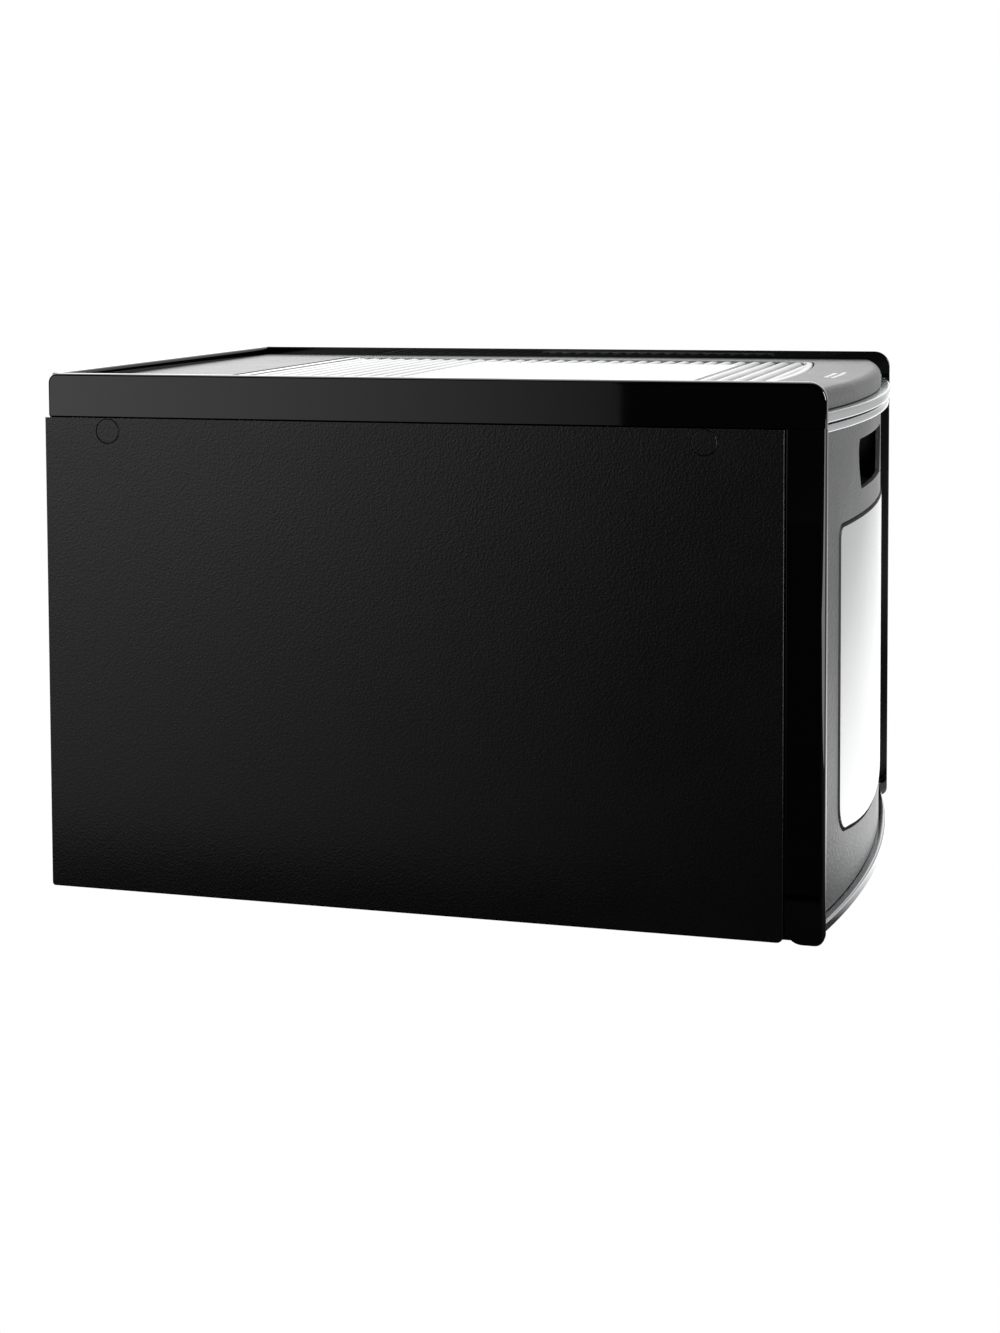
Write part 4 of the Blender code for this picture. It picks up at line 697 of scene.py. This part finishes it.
HEAD_RADIUS, HEAD_HEIGHT, HEAD_ROUND = 0.0036, 0.0016, 0.0009
RECESS_LONG, RECESS_NARROW, RECESS_DEEP = 0.0021, 0.0005, 0.0009
low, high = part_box("rear_panel")
for row, z in enumerate((low[2] + 0.020, (low[2] + high[2]) / 2, high[2] - 0.012)):
    for side, x in (("left", low[0] + 0.012), ("right", high[0] - 0.012)):
        head = surface(f"panel_screw_{side}_{row}",
                       *slab_points(circle((x, z), HEAD_RADIUS, 24), high[1] - 0.0002, high[1] + HEAD_HEIGHT,
                                    "Y", 0.0, HEAD_ROUND, 4), zinc, "cabinet", "zinc_steel")
        for half_x, half_z in ((RECESS_LONG, RECESS_NARROW), (RECESS_NARROW, RECESS_LONG)):
            recess = rounded_box((x - half_x, z - half_z), (x + half_x, z + half_z), (0,) * 4)
            cut(head, surface("recess", *slab_points(recess, high[1] + HEAD_HEIGHT - RECESS_DEEP,
                                                     high[1] + 0.01, "Y")))
low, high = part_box("power_inlet")
BLADE_HALF_WIDE, BLADE_HALF_TALL, BLADE_EDGE = 0.001, 0.002, 0.0003
blades = []
for offset, drop in ((-0.0062, -0.001), (0.0, 0.0015), (0.0062, -0.001)):
    x, z = (low[0] + high[0]) / 2 + offset, (low[2] + high[2]) / 2 + drop
    blade = rounded_box((x - BLADE_HALF_WIDE, z - BLADE_HALF_TALL),
                        (x + BLADE_HALF_WIDE, z + BLADE_HALF_TALL), (BLADE_EDGE,) * 4, 2)
    blades.append(slab_points(blade, low[1] + 0.0018, low[1] + 0.016, "Y", 0.0, 0.0004, 2))
surface("inlet_blades", *joined(*blades), bright, "cabinet", "bright_steel")


# ---- room, lights and camera ----
# A pale floor and a surround that is white to the camera and otherwise bright beyond the right side. A
# tall card and two low ones, unseen by the camera, shade the black side and the front, and two soft
# boxes light the front and the top.

scene = bpy.context.scene
scene.view_settings.view_transform = "Standard"
world = bpy.data.worlds.new("studio")
scene.world = world
world.use_nodes = True
tree = world.node_tree
background = tree.nodes["Background"]
direction = tree.nodes.new("ShaderNodeSeparateXYZ")
tree.links.new(tree.nodes.new("ShaderNodeTexCoord").outputs["Generated"], direction.inputs[0])
ramp = tree.nodes.new("ShaderNodeMapRange")
ramp.interpolation_type = "SMOOTHSTEP"
for label, value in (("From Min", -0.1), ("From Max", 0.6), ("To Min", 0.004), ("To Max", 1.0)):
    ramp.inputs[label].default_value = value
tree.links.new(direction.outputs["X"], ramp.inputs["Value"])
seen = tree.nodes.new("ShaderNodeLightPath").outputs["Is Camera Ray"]
toward_back = maths(tree, "MAXIMUM", maths(tree, "MULTIPLY_ADD", direction.outputs["Y"], 3.0, 1.1), 0.5)
level = maths(tree, "MAXIMUM", seen, maths(tree, "MULTIPLY", toward_back, ramp.outputs["Result"]))
shown = maths(tree, "MINIMUM", level, maths(tree, "MULTIPLY_ADD", seen, -2.0, 3.0))
tree.links.new(shown, background.inputs["Strength"])
background.inputs["Color"].default_value = (1, 1, 1, 1)

floor_paint = bpy.data.materials.new("floor_paint")
floor_paint.use_nodes = True
tree = floor_paint.node_tree
paint = tree.nodes["Principled BSDF"]
paint.inputs["Base Color"].default_value = (0.02, 0.02, 0.02, 1)
paint.inputs["Roughness"].default_value = 0.9
glow = tree.nodes.new("ShaderNodeEmission")
seen = tree.nodes.new("ShaderNodeLightPath").outputs["Is Camera Ray"]
blend = tree.nodes.new("ShaderNodeMixShader")
side = tree.nodes.new("ShaderNodeSeparateXYZ")
tree.links.new(tree.nodes.new("ShaderNodeTexCoord").outputs["Object"], side.inputs[0])
far = maths(tree, "MULTIPLY_ADD", side.outputs["X"], 5.0, 0.6)
far = maths(tree, "MINIMUM", maths(tree, "MAXIMUM", far, 0.0), 1.0)
share = maths(tree, "MAXIMUM", seen, far)
rise = maths(tree, "MAXIMUM", maths(tree, "MULTIPLY_ADD", side.outputs["Y"], 2.4, 2.3), 0.55)
rise = maths(tree, "MINIMUM", rise, 2.2)
unseen = maths(tree, "SUBTRACT", 1.0, seen)
tree.links.new(maths(tree, "MULTIPLY_ADD", rise, unseen, seen), glow.inputs["Strength"])
tree.links.new(share, blend.inputs[0])
tree.links.new(paint.outputs[0], blend.inputs[1])
tree.links.new(glow.outputs[0], blend.inputs[2])
tree.links.new(blend.outputs[0], tree.nodes["Material Output"].inputs["Surface"])
floor_mesh = bpy.data.meshes.new("floor")
floor_mesh.from_pydata([(-6, -6, 0), (6, -6, 0), (6, 6, 0), (-6, 6, 0)], [], [(0, 1, 2, 3)])
floor_mesh.materials.append(floor_paint)
floor = bpy.data.objects.new("floor", floor_mesh)
scene.collection.objects.link(floor)


def card(name, corners, lean, start, end, low, high):
    """A glowing card unseen by the camera. Its light climbs from low to high as y plus lean times x runs
    from start to end."""
    glow_paint = bpy.data.materials.new(name)
    glow_paint.use_nodes = True
    tree = glow_paint.node_tree
    tree.nodes.remove(tree.nodes["Principled BSDF"])
    place = tree.nodes.new("ShaderNodeSeparateXYZ")
    tree.links.new(tree.nodes.new("ShaderNodeTexCoord").outputs["Object"], place.inputs[0])
    fade = tree.nodes.new("ShaderNodeMapRange")
    for label, value in (("From Min", start), ("From Max", end), ("To Min", low), ("To Max", high)):
        fade.inputs[label].default_value = value
    tree.links.new(maths(tree, "MULTIPLY_ADD", place.outputs["X"], lean, place.outputs["Y"]),
                   fade.inputs["Value"])
    shine = tree.nodes.new("ShaderNodeEmission")
    tree.links.new(fade.outputs["Result"], shine.inputs["Strength"])
    tree.links.new(shine.outputs[0], tree.nodes["Material Output"].inputs["Surface"])
    mesh = bpy.data.meshes.new(name)
    mesh.from_pydata(corners, [], [(0, 1, 2, 3)])
    mesh.materials.append(glow_paint)
    made = bpy.data.objects.new(name, mesh)
    made.visible_camera = False
    scene.collection.objects.link(made)


card("side_card", [(-2.2, 0.31, 0.0), (-2.2, 2.6, 0.0), (-2.2, 2.6, 1.8), (-2.2, 0.31, 1.8)], 0.0,
     0.31, 1.30, 0.24, 1.45)
card("side_sweep", [(-2.2, -0.4, 0.004), (-0.3, -0.4, 0.004), (-0.3, 2.6, 0.004), (-2.2, 2.6, 0.004)], 0.3,
     -0.30, 0.35, 0.02, 0.42)
card("front_sweep", [(-1.3, -5.0, 0.004), (-0.2, -5.0, 0.004), (-0.2, -0.7, 0.004), (-1.3, -0.7, 0.004)], 0.0,
     -5.0, -0.7, 5.0, 4.0)

for name, place, aim, across, tall, power in (
        ("front_box", (-0.7, -2.4, 1.0), (0, 0, 0.2), 0.9, 1.2, 60),
        ("top_box", (0.4, 0.4, 2.2), (0, 0, 0.3), 1.8, 1.8, 30)):
    lamp = bpy.data.lights.new(name, "AREA")
    lamp.shape, lamp.size, lamp.size_y, lamp.energy = "RECTANGLE", across, tall, power
    light = bpy.data.objects.new(name, lamp)
    light.location = place
    light.rotation_euler = (Vector(place) - Vector(aim)).to_track_quat("Z", "Y").to_euler()
    light.visible_camera = False
    scene.collection.objects.link(light)

camera_data = bpy.data.cameras.new("camera")
camera_data.lens, camera_data.sensor_width = 61.234, 36.0
camera_data.shift_x, camera_data.shift_y = 0.0312, -0.2149
azimuth, pitch, roll = map(math.radians, (-73.8803, 3.4426, -0.3068))
back = Vector((math.sin(azimuth) * math.cos(pitch), -math.cos(azimuth) * math.cos(pitch), math.sin(pitch)))
camera = bpy.data.objects.new("camera", camera_data)
camera.location = (-1.4902, -0.39495, 0.4142)
camera.rotation_mode = "QUATERNION"
camera.rotation_quaternion = back.to_track_quat("Z", "Y") @ Quaternion((0, 0, 1), roll)
scene.collection.objects.link(camera)
scene.camera = camera
